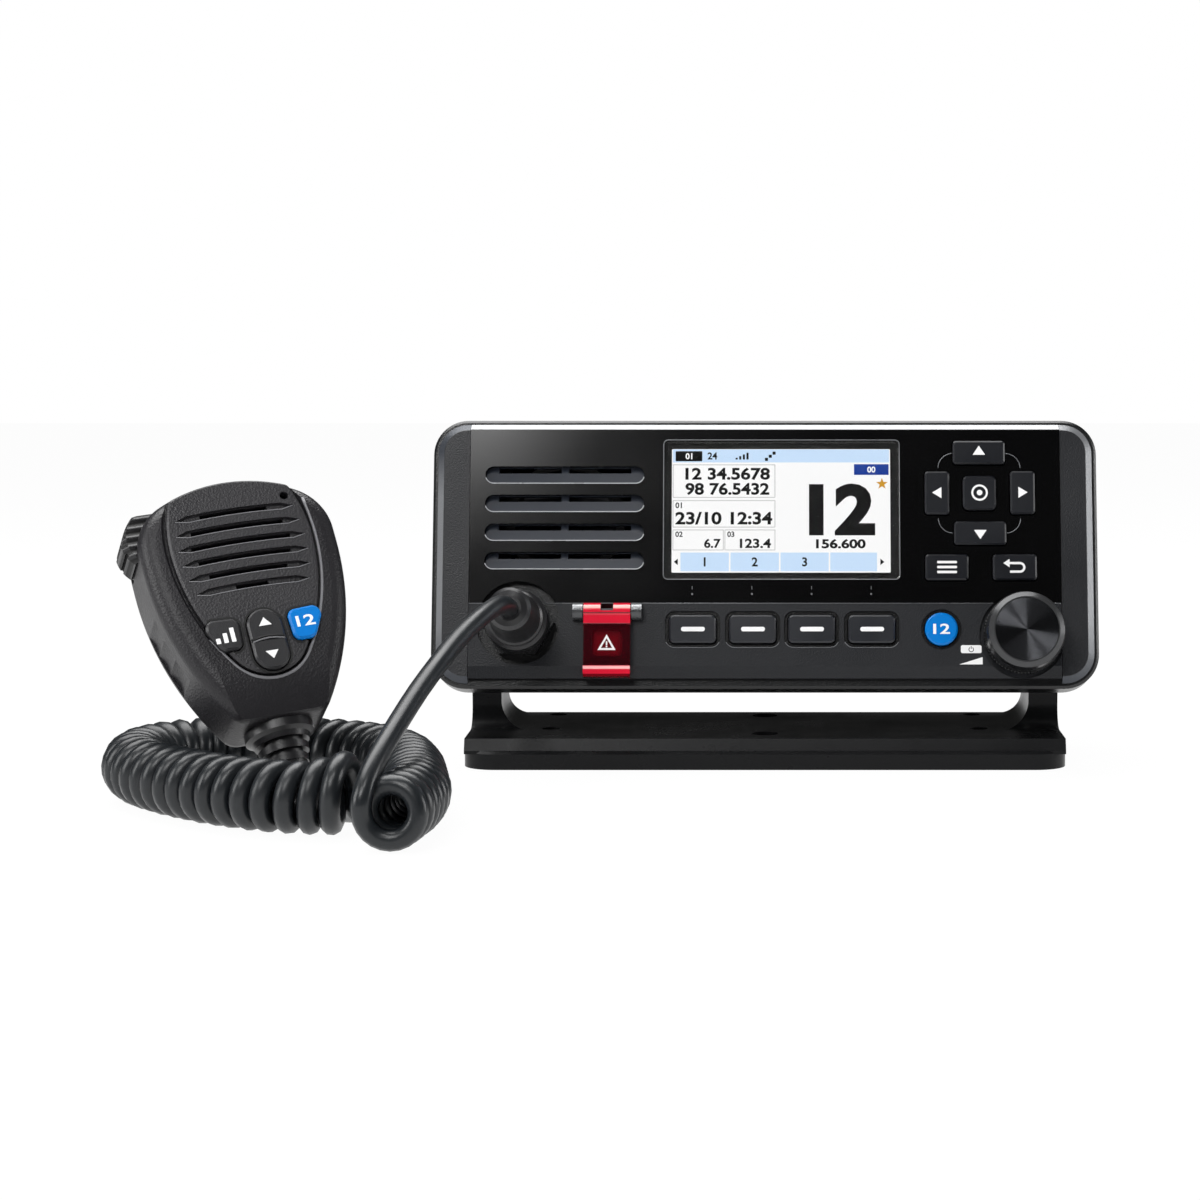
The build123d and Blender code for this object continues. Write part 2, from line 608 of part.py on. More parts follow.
def display():
    lens = slab(rounded(WINDOW_W - 2 * LENS_FIT, WINDOW_H - 2 * LENS_FIT, WINDOW_R, WINDOW_X, WINDOW_Z),
                LENS_RECESS, RIM_BACK)
    keep("display_lens", lens, TO_RADIO)
    module = slab(rounded(SCREEN_W, SCREEN_H, 0.8, SCREEN_X, SCREEN_Z), RIM_BACK + 0.1, SKIN_Y + 0.5)
    module += slab(rounded(SCREEN_W + 2 * MODULE_RIM, SCREEN_H + 2 * MODULE_RIM, 1.5, SCREEN_X, SCREEN_Z),
                   SKIN_Y, BOARD_Y)
    keep("display_module", module, TO_RADIO)


def boards():
    low = 2 * WALL + 1.0
    strip_top = 29.0 * TALL
    right = 87.0 * WIDE
    high = CHASSIS_TOP - 0.5
    left = SPEAKER_X + SPEAKER_R + 7.5
    board = box(-56.0 * WIDE, right, BOARD_Y, BOARD_Y + BOARD_T, low, strip_top)
    board += box(left, right, BOARD_Y, BOARD_Y + BOARD_T, strip_top - 1, high)
    half = ENCODER_W / 2 + 0.5
    board -= box(DIAL_X - half, DIAL_X + half, BOARD_Y - 1, BOARD_Y + BOARD_T + 1,
                 DIAL_Z - half, DIAL_Z + half)
    pad_left = 47.0 * WIDE
    mat = box(-55.0 * WIDE, 59.0 * WIDE, MAT_Y, BOARD_Y, 7.5 * TALL, 26.5 * TALL)
    mat += box(pad_left, 83.0 * WIDE, MAT_Y, BOARD_Y, 30.5 * TALL, high)
    mat += box(pad_left, 61.0 * WIDE, MAT_Y, BOARD_Y, 20.0 * TALL, 35.0 * TALL)
    for x, z in CASE_SCREWS:
        board -= rod_y(x, z, BOSS_R + KEY_GAP, BOARD_Y - 1, BOARD_Y + BOARD_T + 1)
        mat -= rod_y(x, z, BOSS_R + KEY_GAP, MAT_Y - 1, BOARD_Y + 1)
    keep("front_board", board, TO_RADIO)
    for _, x, z, *_ in flat_keys():
        mat += rod_y(x, z, DOME_R, DOME_Y, MAT_Y + 0.2)
    mat += rod_y(CHANNEL_X, CHANNEL_Z, DOME_R, DOME_Y, MAT_Y + 0.2)
    keep("keypad_mat", mat, TO_RADIO)


def push_keys():
    """Each key cap has a flange behind the front wall, so it cannot fall out."""
    for name, x, z, width, height, radius in flat_keys():
        proud = DISTRESS_PROUD if name == "distress_key" else KEY_PROUD
        cap = slab(rounded(width, height, radius, x, z), -proud, SKIN_Y)
        cap = chamfer(cap.faces().sort_by(Axis.Y)[0].edges(), length=KEY_EDGE)
        cap += slab(rounded(width + 2 * KEY_FLANGE, height + 2 * KEY_FLANGE, radius, x, z),
                    SKIN_Y, FLANGE_Y)
        keep(name, cap, TO_RADIO)
    r = CHANNEL_R
    cap = turned([
        (0, -KEY_PROUD), (r - KEY_EDGE, -KEY_PROUD), (r, -KEY_PROUD + KEY_EDGE), (r, SKIN_Y),
        (r + KEY_FLANGE, SKIN_Y), (r + KEY_FLANGE, FLANGE_Y), (0, FLANGE_Y)], CHANNEL_X, CHANNEL_Z)
    keep("channel_key", cap, TO_RADIO)


# ------------------------------------------------------------------ volume knob
def volume_knob():
    y0 = SKIN_Y
    y1 = SKIN_Y + ENCODER_D
    half = ENCODER_W / 2
    cavity_y0 = y0 + 1.2
    cavity_y1 = cavity_y0 + PLUNGER_T + DIAL_PUSH + 0.4
    body = box(DIAL_X - half, DIAL_X + half, y0, y1, DIAL_Z - half, DIAL_Z + half)
    body += rod_y(DIAL_X, DIAL_Z, BUSH_R, DIAL_WELL - 0.5, y0 + 0.5)
    body -= rod_y(DIAL_X, DIAL_Z, SHAFT_R + SHAFT_FIT, DIAL_WELL - 1.5, cavity_y0 + 0.5)
    body -= rod_y(DIAL_X, DIAL_Z, PLUNGER_R + 0.2, cavity_y0, cavity_y1)
    body -= rod_y(DIAL_X, DIAL_Z, SHAFT_R - 1.0 + SHAFT_FIT, cavity_y1 - 0.5, y1 + 1)
    keep("encoder_body", body, TO_RADIO)
    ring_y0 = cavity_y0 + 0.1
    ring_y1 = ring_y0 + PLUNGER_T
    ring = rod_y(DIAL_X, DIAL_Z, PLUNGER_R, ring_y0, ring_y1)
    ring -= rod_y(DIAL_X, DIAL_Z, SHAFT_R - 1.0 + SHAFT_FIT, ring_y0 - 1, ring_y1 + 1)
    keep("encoder_plunger", ring, TO_RADIO)
    shaft_y0 = -DIAL_PROUD + 4.0
    shaft = rod_y(DIAL_X, DIAL_Z, SHAFT_R, shaft_y0, ring_y0)
    shaft += rod_y(DIAL_X, DIAL_Z, SHAFT_R - 1.0, ring_y0 - 0.5, y1 - DIAL_PUSH - 0.1)
    flat = box(DIAL_X - SHAFT_R, DIAL_X + SHAFT_R, shaft_y0 - 1, -2.0, DIAL_Z + SHAFT_R - 0.9,
               DIAL_Z + SHAFT_R + 1)
    shaft -= flat
    keep("encoder_shaft", shaft, TO_RADIO)
    front = -DIAL_PROUD
    knob = turned([
        (SHAFT_R + SHAFT_FIT, shaft_y0 - SHAFT_FIT), (SHAFT_R + SHAFT_FIT, -DIAL_GAP),
        (DIAL_R, -DIAL_GAP), (DIAL_R, front + DIAL_BEVEL + 2.0), (DIAL_R - 0.4, front + DIAL_BEVEL),
        (DIAL_FACE_R, front), (DIAL_FACE_R - 0.4, front), (DIAL_FACE_R - 0.4, front + DIAL_CAP_T),
        (0, front + DIAL_CAP_T), (0, shaft_y0 - SHAFT_FIT)], DIAL_X, DIAL_Z)
    keep("dial_knob", knob, TO_RADIO)
    cap = rod_y(DIAL_X, DIAL_Z, DIAL_FACE_R - 0.4 - SHAFT_FIT, front + 0.1, front + DIAL_CAP_T)
    keep("dial_cap", cap, TO_RADIO)


# -------------------------------------------------------------- distress cover
def distress_cover():
    half = COVER_W / 2
    x0 = COVER_X - half
    x1 = COVER_X + half
    inner = COVER_FRONT + COVER_T
    top = HINGE_Z
    front = box(x0, x1, COVER_FRONT, inner, COVER_LOW, top)
    sides = box(x0, x0 + COVER_SIDE, COVER_FRONT, COVER_SEAT, COVER_LOW, top - BARREL_R / 2)
    sides += box(x1 - COVER_SIDE, x1, COVER_FRONT, COVER_SEAT, COVER_LOW, top - BARREL_R / 2)
    lip = slab(rounded(COVER_W, COVER_LIP, 1.2, COVER_X, COVER_LOW + COVER_LIP / 2),
               COVER_FRONT - 0.9, COVER_SEAT)
    cover = front + sides + lip
    cover += rod_x(HINGE_Y, HINGE_Z, BARREL_R, x0, x1)
    notch = BARREL_NOTCH / 2
    cover -= box(COVER_X - notch, COVER_X + notch, HINGE_Y - 4, HINGE_Y + 4, HINGE_Z, HINGE_Z + 4)
    cover -= rod_x(HINGE_Y, HINGE_Z, PIN_R + PIN_FIT, x0 - 1, x1 + 1)
    keep("distress_cover", cover, TO_RADIO)
    reach = half + EAR_GAP + EAR_W - 1.0
    pin = rod_x(HINGE_Y, HINGE_Z, PIN_R, COVER_X - reach, COVER_X + reach)
    keep("distress_hinge_pin", pin, TO_RADIO)


# ------------------------------------------------------------------ cord gland
def cord_gland():
    nut_front = RIM_BACK - NUT_T
    nut = slab(Pos(GLAND_X, GLAND_Z) * RegularPolygon(NUT_ACROSS / 2, 6), nut_front, RIM_BACK)
    nut -= rod_y(GLAND_X, GLAND_Z, GLAND_STEM_R + GLAND_FIT, nut_front - 1, RIM_BACK + 1)
    keep("gland_nut", nut, TO_RADIO)
    y = nut_front
    tip = y - BOOT_LENGTH
    boot = turned([
        (0, SKIN_Y + 2.0), (GLAND_STEM_R + 1.5, SKIN_Y + 2.0), (GLAND_STEM_R + 1.5, SKIN_Y),
        (GLAND_STEM_R, SKIN_Y), (GLAND_STEM_R, y), (BOOT_R, y), (BOOT_R, y - 5.0),
        (BOOT_R - 1.0, y - 5.6), (BOOT_R - 1.0, y - 8.6), (BOOT_R - 1.6, y - 9.2),
        (BOOT_TIP_R + 0.5, y - 17.0), (BOOT_TIP_R, tip + 2.2), (BOOT_TIP_R - 1.0, tip + 0.6),
        (BOOT_TIP_R - 2.6, tip), (0, tip)], GLAND_X, GLAND_Z)
    keep("cord_boot", boot, TO_RADIO)
    return tip


# --------------------------------------------------------------------- chassis
def chassis_outline(inset):
    return rounded(2 * (CHASSIS_HALF - inset), CHASSIS_TOP - CHASSIS_LOW - 2 * inset,
                   max(CHASSIS_R - inset, 1.0), 0, (CHASSIS_TOP + CHASSIS_LOW) / 2)


def rear_chassis():
    shell = slab(chassis_outline(0), CHASSIS_Y, BACK_FACE_Y)
    shell += slab(front_outline(WALL + SEAL_FIT), CHASSIS_Y, BEZEL_DEPTH)
    shell -= slab(chassis_outline(CHASSIS_WALL), CHASSIS_Y - 1, BACK_WALL_Y)
    count = int((FIN_X1 - FIN_X0) / FIN_PITCH)
    fin_low = CHASSIS_LOW + FIN_MARGIN
    fin_high = CHASSIS_TOP - FIN_MARGIN
    for i in range(count + 1):
        x = FIN_X0 + i * FIN_PITCH
        fin = box(x - FIN_T / 2, x + FIN_T / 2, BACK_FACE_Y - 0.5, CHASSIS_DEPTH, fin_low, fin_high)
        shell += chamfer(fin.edges().filter_by(Axis.X).sort_by(Axis.Y)[-2:], length=FIN_TAPER)
    for x in (-BOARD_POST_X, BOARD_POST_X):
        for y in BOARD_POST_YS:
            post_h = MAIN_BOARD_Z - CHASSIS_LOW - 1.0
            shell += Pos(x, y, MAIN_BOARD_Z - post_h / 2) * Cylinder(3.0, post_h)
    for sign in (-1, 1):
        a, b = sorted((sign * (CHASSIS_HALF - 1), sign * (CHASSIS_HALF - STUD_LENGTH - 2.0)))
        shell += rod_x(PIVOT_BACK, PIVOT_UP, STUD_R + 4.0, a, b)
        a, b = sorted((sign * (CHASSIS_HALF + 1), sign * (CHASSIS_HALF - STUD_LENGTH)))
        shell -= rod_x(PIVOT_BACK, PIVOT_UP, STUD_R + STUD_FIT, a, b)
    for x, z in CASE_SCREWS:
        shell += rod_y(x, z, BOSS_R, CHASSIS_Y, BACK_WALL_Y + 0.5)
    for x, z in CASE_SCREWS:
        shell -= rod_y(x, z, CASE_SCREW_R + STUD_CLEAR, CHASSIS_Y - 1, CHASSIS_DEPTH + 1)
        shell -= rod_y(x, z, CASE_SCREW_HEAD_R + STUD_CLEAR, BACK_FACE_Y, CHASSIS_DEPTH + 1)
    shell -= rod_y(ANTENNA_X, ANTENNA_Z, ANTENNA_BORE_R + 0.2, BACK_WALL_Y - 1, BACK_FACE_Y + 1)
    for x in INLET_XS:
        shell -= rod_y(x, INLET_Z, INLET_R - 1.5 + 0.1, BACK_WALL_Y - 1, BACK_FACE_Y + 1)
    keep("rear_chassis", shell, TO_RADIO)


def chassis_fittings():
    seal = slab(front_outline(WALL + SEAL_FIT), LEDGE_Y, CHASSIS_Y)
    seal -= slab(front_outline(WALL + SEAL_LEDGE), LEDGE_Y - 1, CHASSIS_Y + 1)
    keep("front_seal", seal, TO_RADIO)
    half = MAIN_BOARD_HALF
    deep = MAIN_BOARD_REAR - MAIN_BOARD_FRONT
    top = MAIN_BOARD_Z + BOARD_T
    board = box(-half, half, MAIN_BOARD_FRONT, MAIN_BOARD_REAR, MAIN_BOARD_Z, top)
    for x_a, x_b, y_a, y_b, height in MAIN_BOARD_PARTS:
        board += box(x_a * half, x_b * half, MAIN_BOARD_FRONT + y_a * deep, MAIN_BOARD_FRONT + y_b * deep,
                     top - 0.2, top + height)
    can_z = top - 0.2 + CAPACITOR_H / 2
    board += Pos(0.45 * half, MAIN_BOARD_FRONT + 0.23 * deep, can_z) * Cylinder(CAPACITOR_R, CAPACITOR_H)
    keep("main_board", board, TO_RADIO)
    screws = []
    for x, z in CASE_SCREWS:
        screw = rod_y(x, z, CASE_SCREW_R, SKIN_Y + 1.0, BACK_FACE_Y + 0.5)
        head = rod_y(x, z, CASE_SCREW_HEAD_R, BACK_FACE_Y, BACK_FACE_Y + CASE_SCREW_HEAD_T)
        screws.append(screw + head)
    keep_group("case_screws", screws, TO_RADIO)
    flange_y = BACK_FACE_Y + ANTENNA_FLANGE_T
    socket = slab(rounded(ANTENNA_FLANGE, ANTENNA_FLANGE, 1.5, ANTENNA_X, ANTENNA_Z), BACK_FACE_Y, flange_y)
    socket += rod_y(ANTENNA_X, ANTENNA_Z, ANTENNA_R, flange_y - 0.5, flange_y + ANTENNA_L)
    socket += rod_y(ANTENNA_X, ANTENNA_Z, ANTENNA_BORE_R, BACK_WALL_Y - 2, BACK_FACE_Y + 0.5)
    socket -= rod_y(ANTENNA_X, ANTENNA_Z, ANTENNA_BORE_R, flange_y + 1.5, flange_y + ANTENNA_L + 1)
    socket += rod_y(ANTENNA_X, ANTENNA_Z, ANTENNA_PIN_R + 1.5, flange_y + 1.0, flange_y + ANTENNA_L - 1)
    socket -= rod_y(ANTENNA_X, ANTENNA_Z, ANTENNA_PIN_R, flange_y + 3.0, flange_y + ANTENNA_L)
    keep("antenna_socket", socket, TO_RADIO)
    inlets = []
    for x in INLET_XS:
        y = BACK_FACE_Y
        inlet = turned([
            (INLET_BORE_R, BACK_WALL_Y - 1.5), (INLET_R - 1.5, BACK_WALL_Y - 1.5), (INLET_R - 1.5, y),
            (INLET_R, y), (INLET_R, y + 2.0), (INLET_R - 1.2, y + INLET_PROUD),
            (INLET_BORE_R, y + INLET_PROUD)], x, INLET_Z)
        inlets.append(inlet)
    keep_group("cable_inlets", inlets, TO_RADIO)


# ------------------------------------------------------------------ microphone
def mic_outline(inset=0.0):
    """The shield shape of the microphone's front view, drawn in by inset."""
    half = MIC_WIDE_HALF
    rise = MIC_TOP - MIC_WIDE_HIGH
    dome = MIC_DOME_R
    shoulder = (dome ** 2 - half ** 2 - (dome - rise) ** 2) / (2 * (dome - half))
    lean = math.atan2(half - shoulder, dome - rise)
    sx = dome * math.sin(lean)
    sz = MIC_TOP - dome + dome * math.cos(lean)
    lines = [Line((-MIC_NECK_HALF, MIC_NECK_Z), (MIC_NECK_HALF, MIC_NECK_Z)),
             ThreePointArc((sx, sz), (0, MIC_TOP), (-sx, sz))]
    for sign in (1, -1):
        low = (sign * half, MIC_WIDE_LOW)
        high = (sign * half, MIC_WIDE_HIGH)
        lines.append(Line(low, high))
        lines.append(TangentArc(low, (sign * MIC_NECK_HALF, MIC_NECK_Z), tangent=(0, -1)))
        lines.append(TangentArc(high, (sign * sx, sz), tangent=(0, 1)))
    face = make_face(lines)
    face = fillet(face.vertices().sort_by(Axis.Y)[:2], radius=MIC_NECK_R)
    if inset:
        face = offset(face, amount=-inset, kind=Kind.INTERSECTION)
    return face


def plate_outline(grow=0.0):
    """The front plate's shape: a domed top, bowed sides and a rounded nose below."""
    corner_x, corner_z = PLATE_CORNER
    centre = PLATE_SIDE_R - PLATE_HALF
    nose = PLATE_WIDE_Z - math.sqrt(PLATE_SIDE_R ** 2 - centre ** 2)
    lines = [ThreePointArc((-corner_x, corner_z), (0, PLATE_TOP), (corner_x, corner_z))]
    for sign in (1, -1):
        widest = (sign * PLATE_HALF, PLATE_WIDE_Z)
        lines.append(TangentArc(widest, (sign * corner_x, corner_z), tangent=(0, 1)))
        lines.append(TangentArc(widest, (0, nose), tangent=(0, -1)))
    face = make_face(lines)
    face = fillet(face.vertices().sort_by(Axis.Y)[:1], radius=PLATE_NOSE_R)
    face = fillet(face.vertices().sort_by(Axis.Y)[-2:], radius=PLATE_CORNER_R)
    if grow:
        face = offset(face, amount=grow, kind=Kind.INTERSECTION)
    return face


def slot_band(half, z_ends, height):
    """One louvre slot that arches upwards, as long as 2 x half, with tapered ends."""
    wide = half - MIC_SLOT_TAPER
    z_wide = z_ends + MIC_SLOT_SAG * (1 - (wide / half) ** 2)
    lines = []
    for side in (height / 2, -height / 2):
        left = (-wide, z_wide + side)
        right = (wide, z_wide + side)
        lines.append(Line((-half, z_ends), left))
        lines.append(ThreePointArc(left, (0, z_ends + MIC_SLOT_SAG + side), right))
        lines.append(Line(right, (half, z_ends)))
    return make_face(lines)


def arc_in(z):
    """How far the case's lower side has drawn in at height z; nought or negative."""
    run = MIC_WIDE_HALF - MIC_NECK_HALF
    drop = MIC_WIDE_LOW - MIC_NECK_Z
    radius = (run ** 2 + drop ** 2) / (2 * run)
    return math.sqrt(radius ** 2 - (MIC_WIDE_LOW - z) ** 2) - radius


def neck_slope(face_y):
    """The curved wedge by which the case grows thinner towards its neck, off one face."""
    low = MIC_NECK_Z - 1.0
    inner = face_y - math.copysign(NECK_SLOPE_IN, face_y)
    outer = face_y + math.copysign(5.0, face_y)
    slope = TangentArc((face_y, NECK_SLOPE_TOP), (inner, low), tangent=(0, -1))
    edge = Polyline((inner, low), (outer, low), (outer, NECK_SLOPE_TOP), (face_y, NECK_SLOPE_TOP))
    wedge = make_face([slope, edge])
    return extrude(Plane.YZ.offset(-MIC_WIDE_HALF) * wedge, amount=2 * MIC_WIDE_HALF)


def ptt_layer(outer, inner, grow):
    """A layer along the case's left side, from one inset of the outline to another."""
    half_y = PTT_W / 2 + grow
    half_z = PTT_H / 2 + grow
    layer = slab(mic_outline(outer), -half_y, half_y)
    layer -= slab(mic_outline(inner), -half_y - 1, half_y + 1)
    return layer & box(-MIC_WIDE_HALF - 10, 0, -half_y, half_y, PTT_Z - half_z, PTT_Z + half_z)


def ptt_window(grow):
    """The hole through the case wall for the talk key's stem."""
    half_y = PTT_W / 2 - 3.0 + grow
    half_z = PTT_H / 2 - 4.5 + grow
    return box(-MIC_WIDE_HALF - 2, -MIC_WIDE_HALF + 12, -half_y, half_y, PTT_Z - half_z, PTT_Z + half_z)


def mic_key_outlines(grow):
    """Front-view outlines of the microphone's three keys, by node name."""
    outlines = {"mic_rocker": Pos(0, MIC_ROCKER_Z) * Rot(0, 0, 90) * SlotOverall(
        MIC_ROCKER_H + 2 * grow, MIC_ROCKER_W + 2 * grow)}
    for name, sign in (("mic_power_key", -1), ("mic_channel_key", 1)):
        side = make_face(Polyline(*[(sign * x, z) for x, z in MIC_KEY_CORNERS], close=True))
        side = fillet(side.vertices(), radius=MIC_KEY_CORNER_R)
        outlines[name] = offset(side, amount=grow, kind=Kind.ARC) if grow else side
    return outlines


def microphone():
    plate_back = -MIC_FRONT + PLATE_T - PLATE_PROUD
    front = slab(mic_outline(), -MIC_FRONT, 0)
    front = fillet(front.faces().sort_by(Axis.Y)[0].edges(), radius=MIC_FRONT_EDGE)
    pocket = slab(plate_outline(PLATE_GROOVE), -MIC_FRONT - 1, plate_back)
    front -= pocket
    groove = plate_outline(PLATE_GROOVE + PLATE_GROOVE_BEVEL)
    bevel = slab(groove, -MIC_FRONT - 1, -MIC_FRONT + PLATE_GROOVE_BEVEL)
    front -= chamfer(bevel.faces().sort_by(Axis.Y)[-1].edges(), length=PLATE_GROOVE_BEVEL - 0.01)
    front -= slab(mic_outline(MIC_WALL), plate_back + MIC_SKIN, 1)
    rear = slab(mic_outline(), 0, MIC_BACK)
    rear = fillet(rear.faces().sort_by(Axis.Y)[-1].edges(), radius=MIC_BACK_EDGE)
    rear -= slab(mic_outline(MIC_WALL), -1, MIC_BACK - 2 * MIC_SKIN)
    plate = slab(plate_outline(), -MIC_FRONT - PLATE_PROUD, plate_back)
    plate = chamfer(plate.faces().sort_by(Axis.Y)[0].edges(), length=0.6)
    for half, z, open_half in MIC_SLOTS:
        band = slot_band(half, z, MIC_SLOT_H)
        plate -= slab(band, -MIC_FRONT - 3, -MIC_FRONT + 0.4)
        through = slab(slot_band(half, z, MIC_SLOT_H * 0.75), -MIC_FRONT - 3, plate_back + MIC_SKIN + 1)
        through = through & box(-open_half, open_half, -30, 30, z - 5, z + 9)
        plate -= through
        front -= through
    for key in mic_key_outlines(KEY_GAP).values():
        hole = slab(key, -MIC_FRONT - 3, plate_back + MIC_SKIN + 1)
        plate -= hole
        front -= hole
    voice = rod_y(MIC_HOLE_X, MIC_HOLE_Z, MIC_HOLE_R, -MIC_FRONT - 3, plate_back + MIC_SKIN + 1)
    plate -= voice
    front -= voice
    neck = rod_z(MIC_BOOT_R - 2.0 + 0.1, MIC_NECK_Z - 1, MIC_NECK_Z + MIC_WALL + 1)
    cuts = [ptt_layer(-PTT_PROUD - 3, PTT_POCKET, 0), ptt_window(0), neck, neck_slope(-MIC_FRONT),
            neck_slope(MIC_BACK)]
    for z in GRIP_ZS:
        for sign in (-1, 1):
            side = MIC_WIDE_HALF + arc_in(z)
            scoop = Pos(sign * (side + GRIP_R - GRIP_DEPTH), 1.5, z) * Rot(90, 0, 0) * Cylinder(
                GRIP_R, 2 * GRIP_HALF_Y)
            cuts.append(scoop)
    for cut in cuts:
        front -= cut
        rear -= cut
    screws = []
    for x, z in MIC_POSTS:
        rear -= rod_y(x, z, MIC_SCREW_R + 1.2, MIC_BACK - 2.5, MIC_BACK + 1)
        rear -= rod_y(x, z, MIC_SCREW_R + 0.1, MIC_BACK - 2 * MIC_SKIN - 1, MIC_BACK)
        head = rod_y(x, z, MIC_SCREW_R + 1.0, MIC_BACK - 2.5, MIC_BACK - 1.0)
        screws.append(head + rod_y(x, z, MIC_SCREW_R, MIC_BACK - 2 * MIC_SKIN - 3, MIC_BACK - 2.0))
    stud_y = MIC_BACK
    stud_end = stud_y + STUD_PROUD
    stud = turned([(0, stud_y), (STUD_HEAD_R - 1, stud_y), (STUD_HEAD_R - 1, stud_y + 0.8),
                   (STUD_NECK_R, stud_y + 1.2), (STUD_NECK_R, stud_end - 2.8), (STUD_HEAD_R, stud_end - 2.4),
                   (STUD_HEAD_R, stud_end - 0.8), (STUD_HEAD_R - 1, stud_end), (0, stud_end)], 0, STUD_Z)
    keep("mic_front_case", front, TO_MIC)
    keep("mic_rear_case", rear, TO_MIC)
    keep("mic_front_plate", plate, TO_MIC)
    keep_group("mic_screws", screws, TO_MIC)
    keep("mic_hanger_stud", stud, TO_MIC)
    mic_insides(plate_back + MIC_SKIN)
    mic_keys(plate_back + MIC_SKIN)


def rod_z(radius, z0, z1):
    return Pos(0, 0, (z0 + z1) / 2) * Cylinder(radius, z1 - z0)


def mic_insides(skin_y):
    board_y = skin_y + KEY_FLANGE_T + MIC_KEY_TRAVEL + 0.2 + 1.2
    board = slab(mic_outline(MIC_WALL + 0.4), board_y, board_y + 1.2)
    board -= box(-40, -MIC_WIDE_HALF + 10, -20, 20, PTT_Z - PTT_H / 2, PTT_Z + PTT_H / 2)
    board -= rod_y(0, MIC_SPEAKER_Z, MIC_SPEAKER_R + 0.5, board_y - 1, board_y + 3)
    board -= box(-20, 20, board_y - 1, board_y + 3, 0, MIC_NECK_Z + MIC_WALL + 5.0)
    keep("mic_board", board, TO_MIC)
    mat = slab(rounded(MIC_MAT_W, MIC_MAT_H, 3.0, 0, MIC_MAT_Z), board_y - MIC_MAT_T, board_y)
    mat = mat & slab(mic_outline(MIC_WALL + 0.4), -30, 30)
    keep("mic_keypad_mat", mat, TO_MIC)
    rim = MIC_SPEAKER_R
    speaker = turned([
        (0, skin_y + 5.0), (3, skin_y + 5.0), (rim - 3.0, skin_y + 0.8), (rim - 2.0, skin_y), (rim, skin_y),
        (rim, skin_y + 1.4), (9.0, skin_y + 6.5), (9.0, skin_y + 10.0), (0, skin_y + 10.0)], 0, MIC_SPEAKER_Z)
    keep("mic_speaker", speaker, TO_MIC)
    capsule = rod_y(MIC_HOLE_X - 1.6, MIC_HOLE_Z - 1.8, 2.4, skin_y, board_y)
    keep("mic_capsule", capsule, TO_MIC)
    z = MIC_NECK_Z
    tip = MIC_BOOT_TIP_R
    big = MIC_BOOT_R
    steps = [(0, 0), (tip - 1.2, 0), (tip, 1.2), (tip + 0.4, 4.0)]
    for i in range(2):
        base = 4.0 + 3.2 * i
        radius = tip + 0.6 + 0.8 * i
        steps += [(radius + 0.2, base), (radius + 0.4, base + 2.0), (radius - 0.7, base + 2.2),
                  (radius - 0.6, base + 3.2)]
    steps += [(big - 0.6, 10.4), (big, z - 3.2), (MIC_COLLAR_R, z - 2.4), (MIC_COLLAR_R, z),
              (big - 2.0, z), (big - 2.0, z + MIC_WALL), (big - 0.6, z + MIC_WALL),
              (big - 0.6, z + MIC_WALL + 1.6), (0, z + MIC_WALL + 1.6)]
    profile = make_face(Polyline(*[(r, 0, h) for r, h in steps], close=True))
    keep("mic_boot", revolve(profile, Axis.Z), TO_MIC)


def mic_keys(skin_y):
    front = -MIC_FRONT - PLATE_PROUD
    for name, outline in mic_key_outlines(0).items():
        if name == "mic_rocker":
            continue
        cap = slab(outline, front - MIC_KEY_PROUD, skin_y)
        cap = chamfer(cap.faces().sort_by(Axis.Y)[0].edges(), length=0.6)
        cap += slab(mic_key_outlines(KEY_FLANGE)[name], skin_y, skin_y + KEY_FLANGE_T)
        keep(name, cap, TO_MIC)
    outline = mic_key_outlines(0)["mic_rocker"]
    rocker = slab(outline, front - MIC_KEY_PROUD, skin_y + ROCKER_CLEAR)
    rocker = chamfer(rocker.faces().sort_by(Axis.Y)[0].edges(), length=0.6)
    rocker -= box(-MIC_ROCKER_W, MIC_ROCKER_W, front - MIC_KEY_PROUD - 1, front - MIC_KEY_PROUD + 0.5,
                  MIC_ROCKER_Z - 0.5, MIC_ROCKER_Z + 0.5)
    rib = rod_x(ROCKER_AXIS_Y, MIC_ROCKER_Z, ROCKER_RIB_R, -ROCKER_RIB_HALF, ROCKER_RIB_HALF)
    rocker += rib & box(-ROCKER_RIB_HALF, ROCKER_RIB_HALF, skin_y + ROCKER_CLEAR - 0.3, 0,
                        MIC_ROCKER_Z - ROCKER_RIB_R, MIC_ROCKER_Z + ROCKER_RIB_R)
    keep("mic_rocker", rocker, TO_MIC)
    seat = PTT_POCKET - PTT_TRAVEL - 0.2
    half_y = PTT_W / 2 - PTT_GAP
    dome = rod_y(PTT_ROUND_X, PTT_Z, PTT_ROUND_R, -half_y, half_y)
    ends = dome.faces().filter_by(Axis.Y)
    dome = chamfer(ends[0].edges() + ends[1].edges(), length=PTT_BEVEL)
    pad = ptt_layer(-PTT_PROUD, seat, -PTT_GAP) & dome
    for i in range(PTT_RIBS):
        turn = 24.0 * (i - (PTT_RIBS - 1) / 2)
        groove = Pos(PTT_ROUND_X, 0, PTT_Z) * Rot(0, turn, 0) * Pos(-PTT_ROUND_R, 0, 0)
        pad -= groove * Box(1.2, 2 * half_y + 2, 1.1)
    stem_y = PTT_W / 2 - 3.0 - PTT_GAP
    stem_z = PTT_H / 2 - 4.5 - PTT_GAP
    end = -MIC_WIDE_HALF + MIC_WALL + 1.4
    pad += box(-MIC_WIDE_HALF + seat - 0.5, end, -stem_y, stem_y, PTT_Z - stem_z, PTT_Z + stem_z)
    keep("ptt_key", pad, TO_MIC)


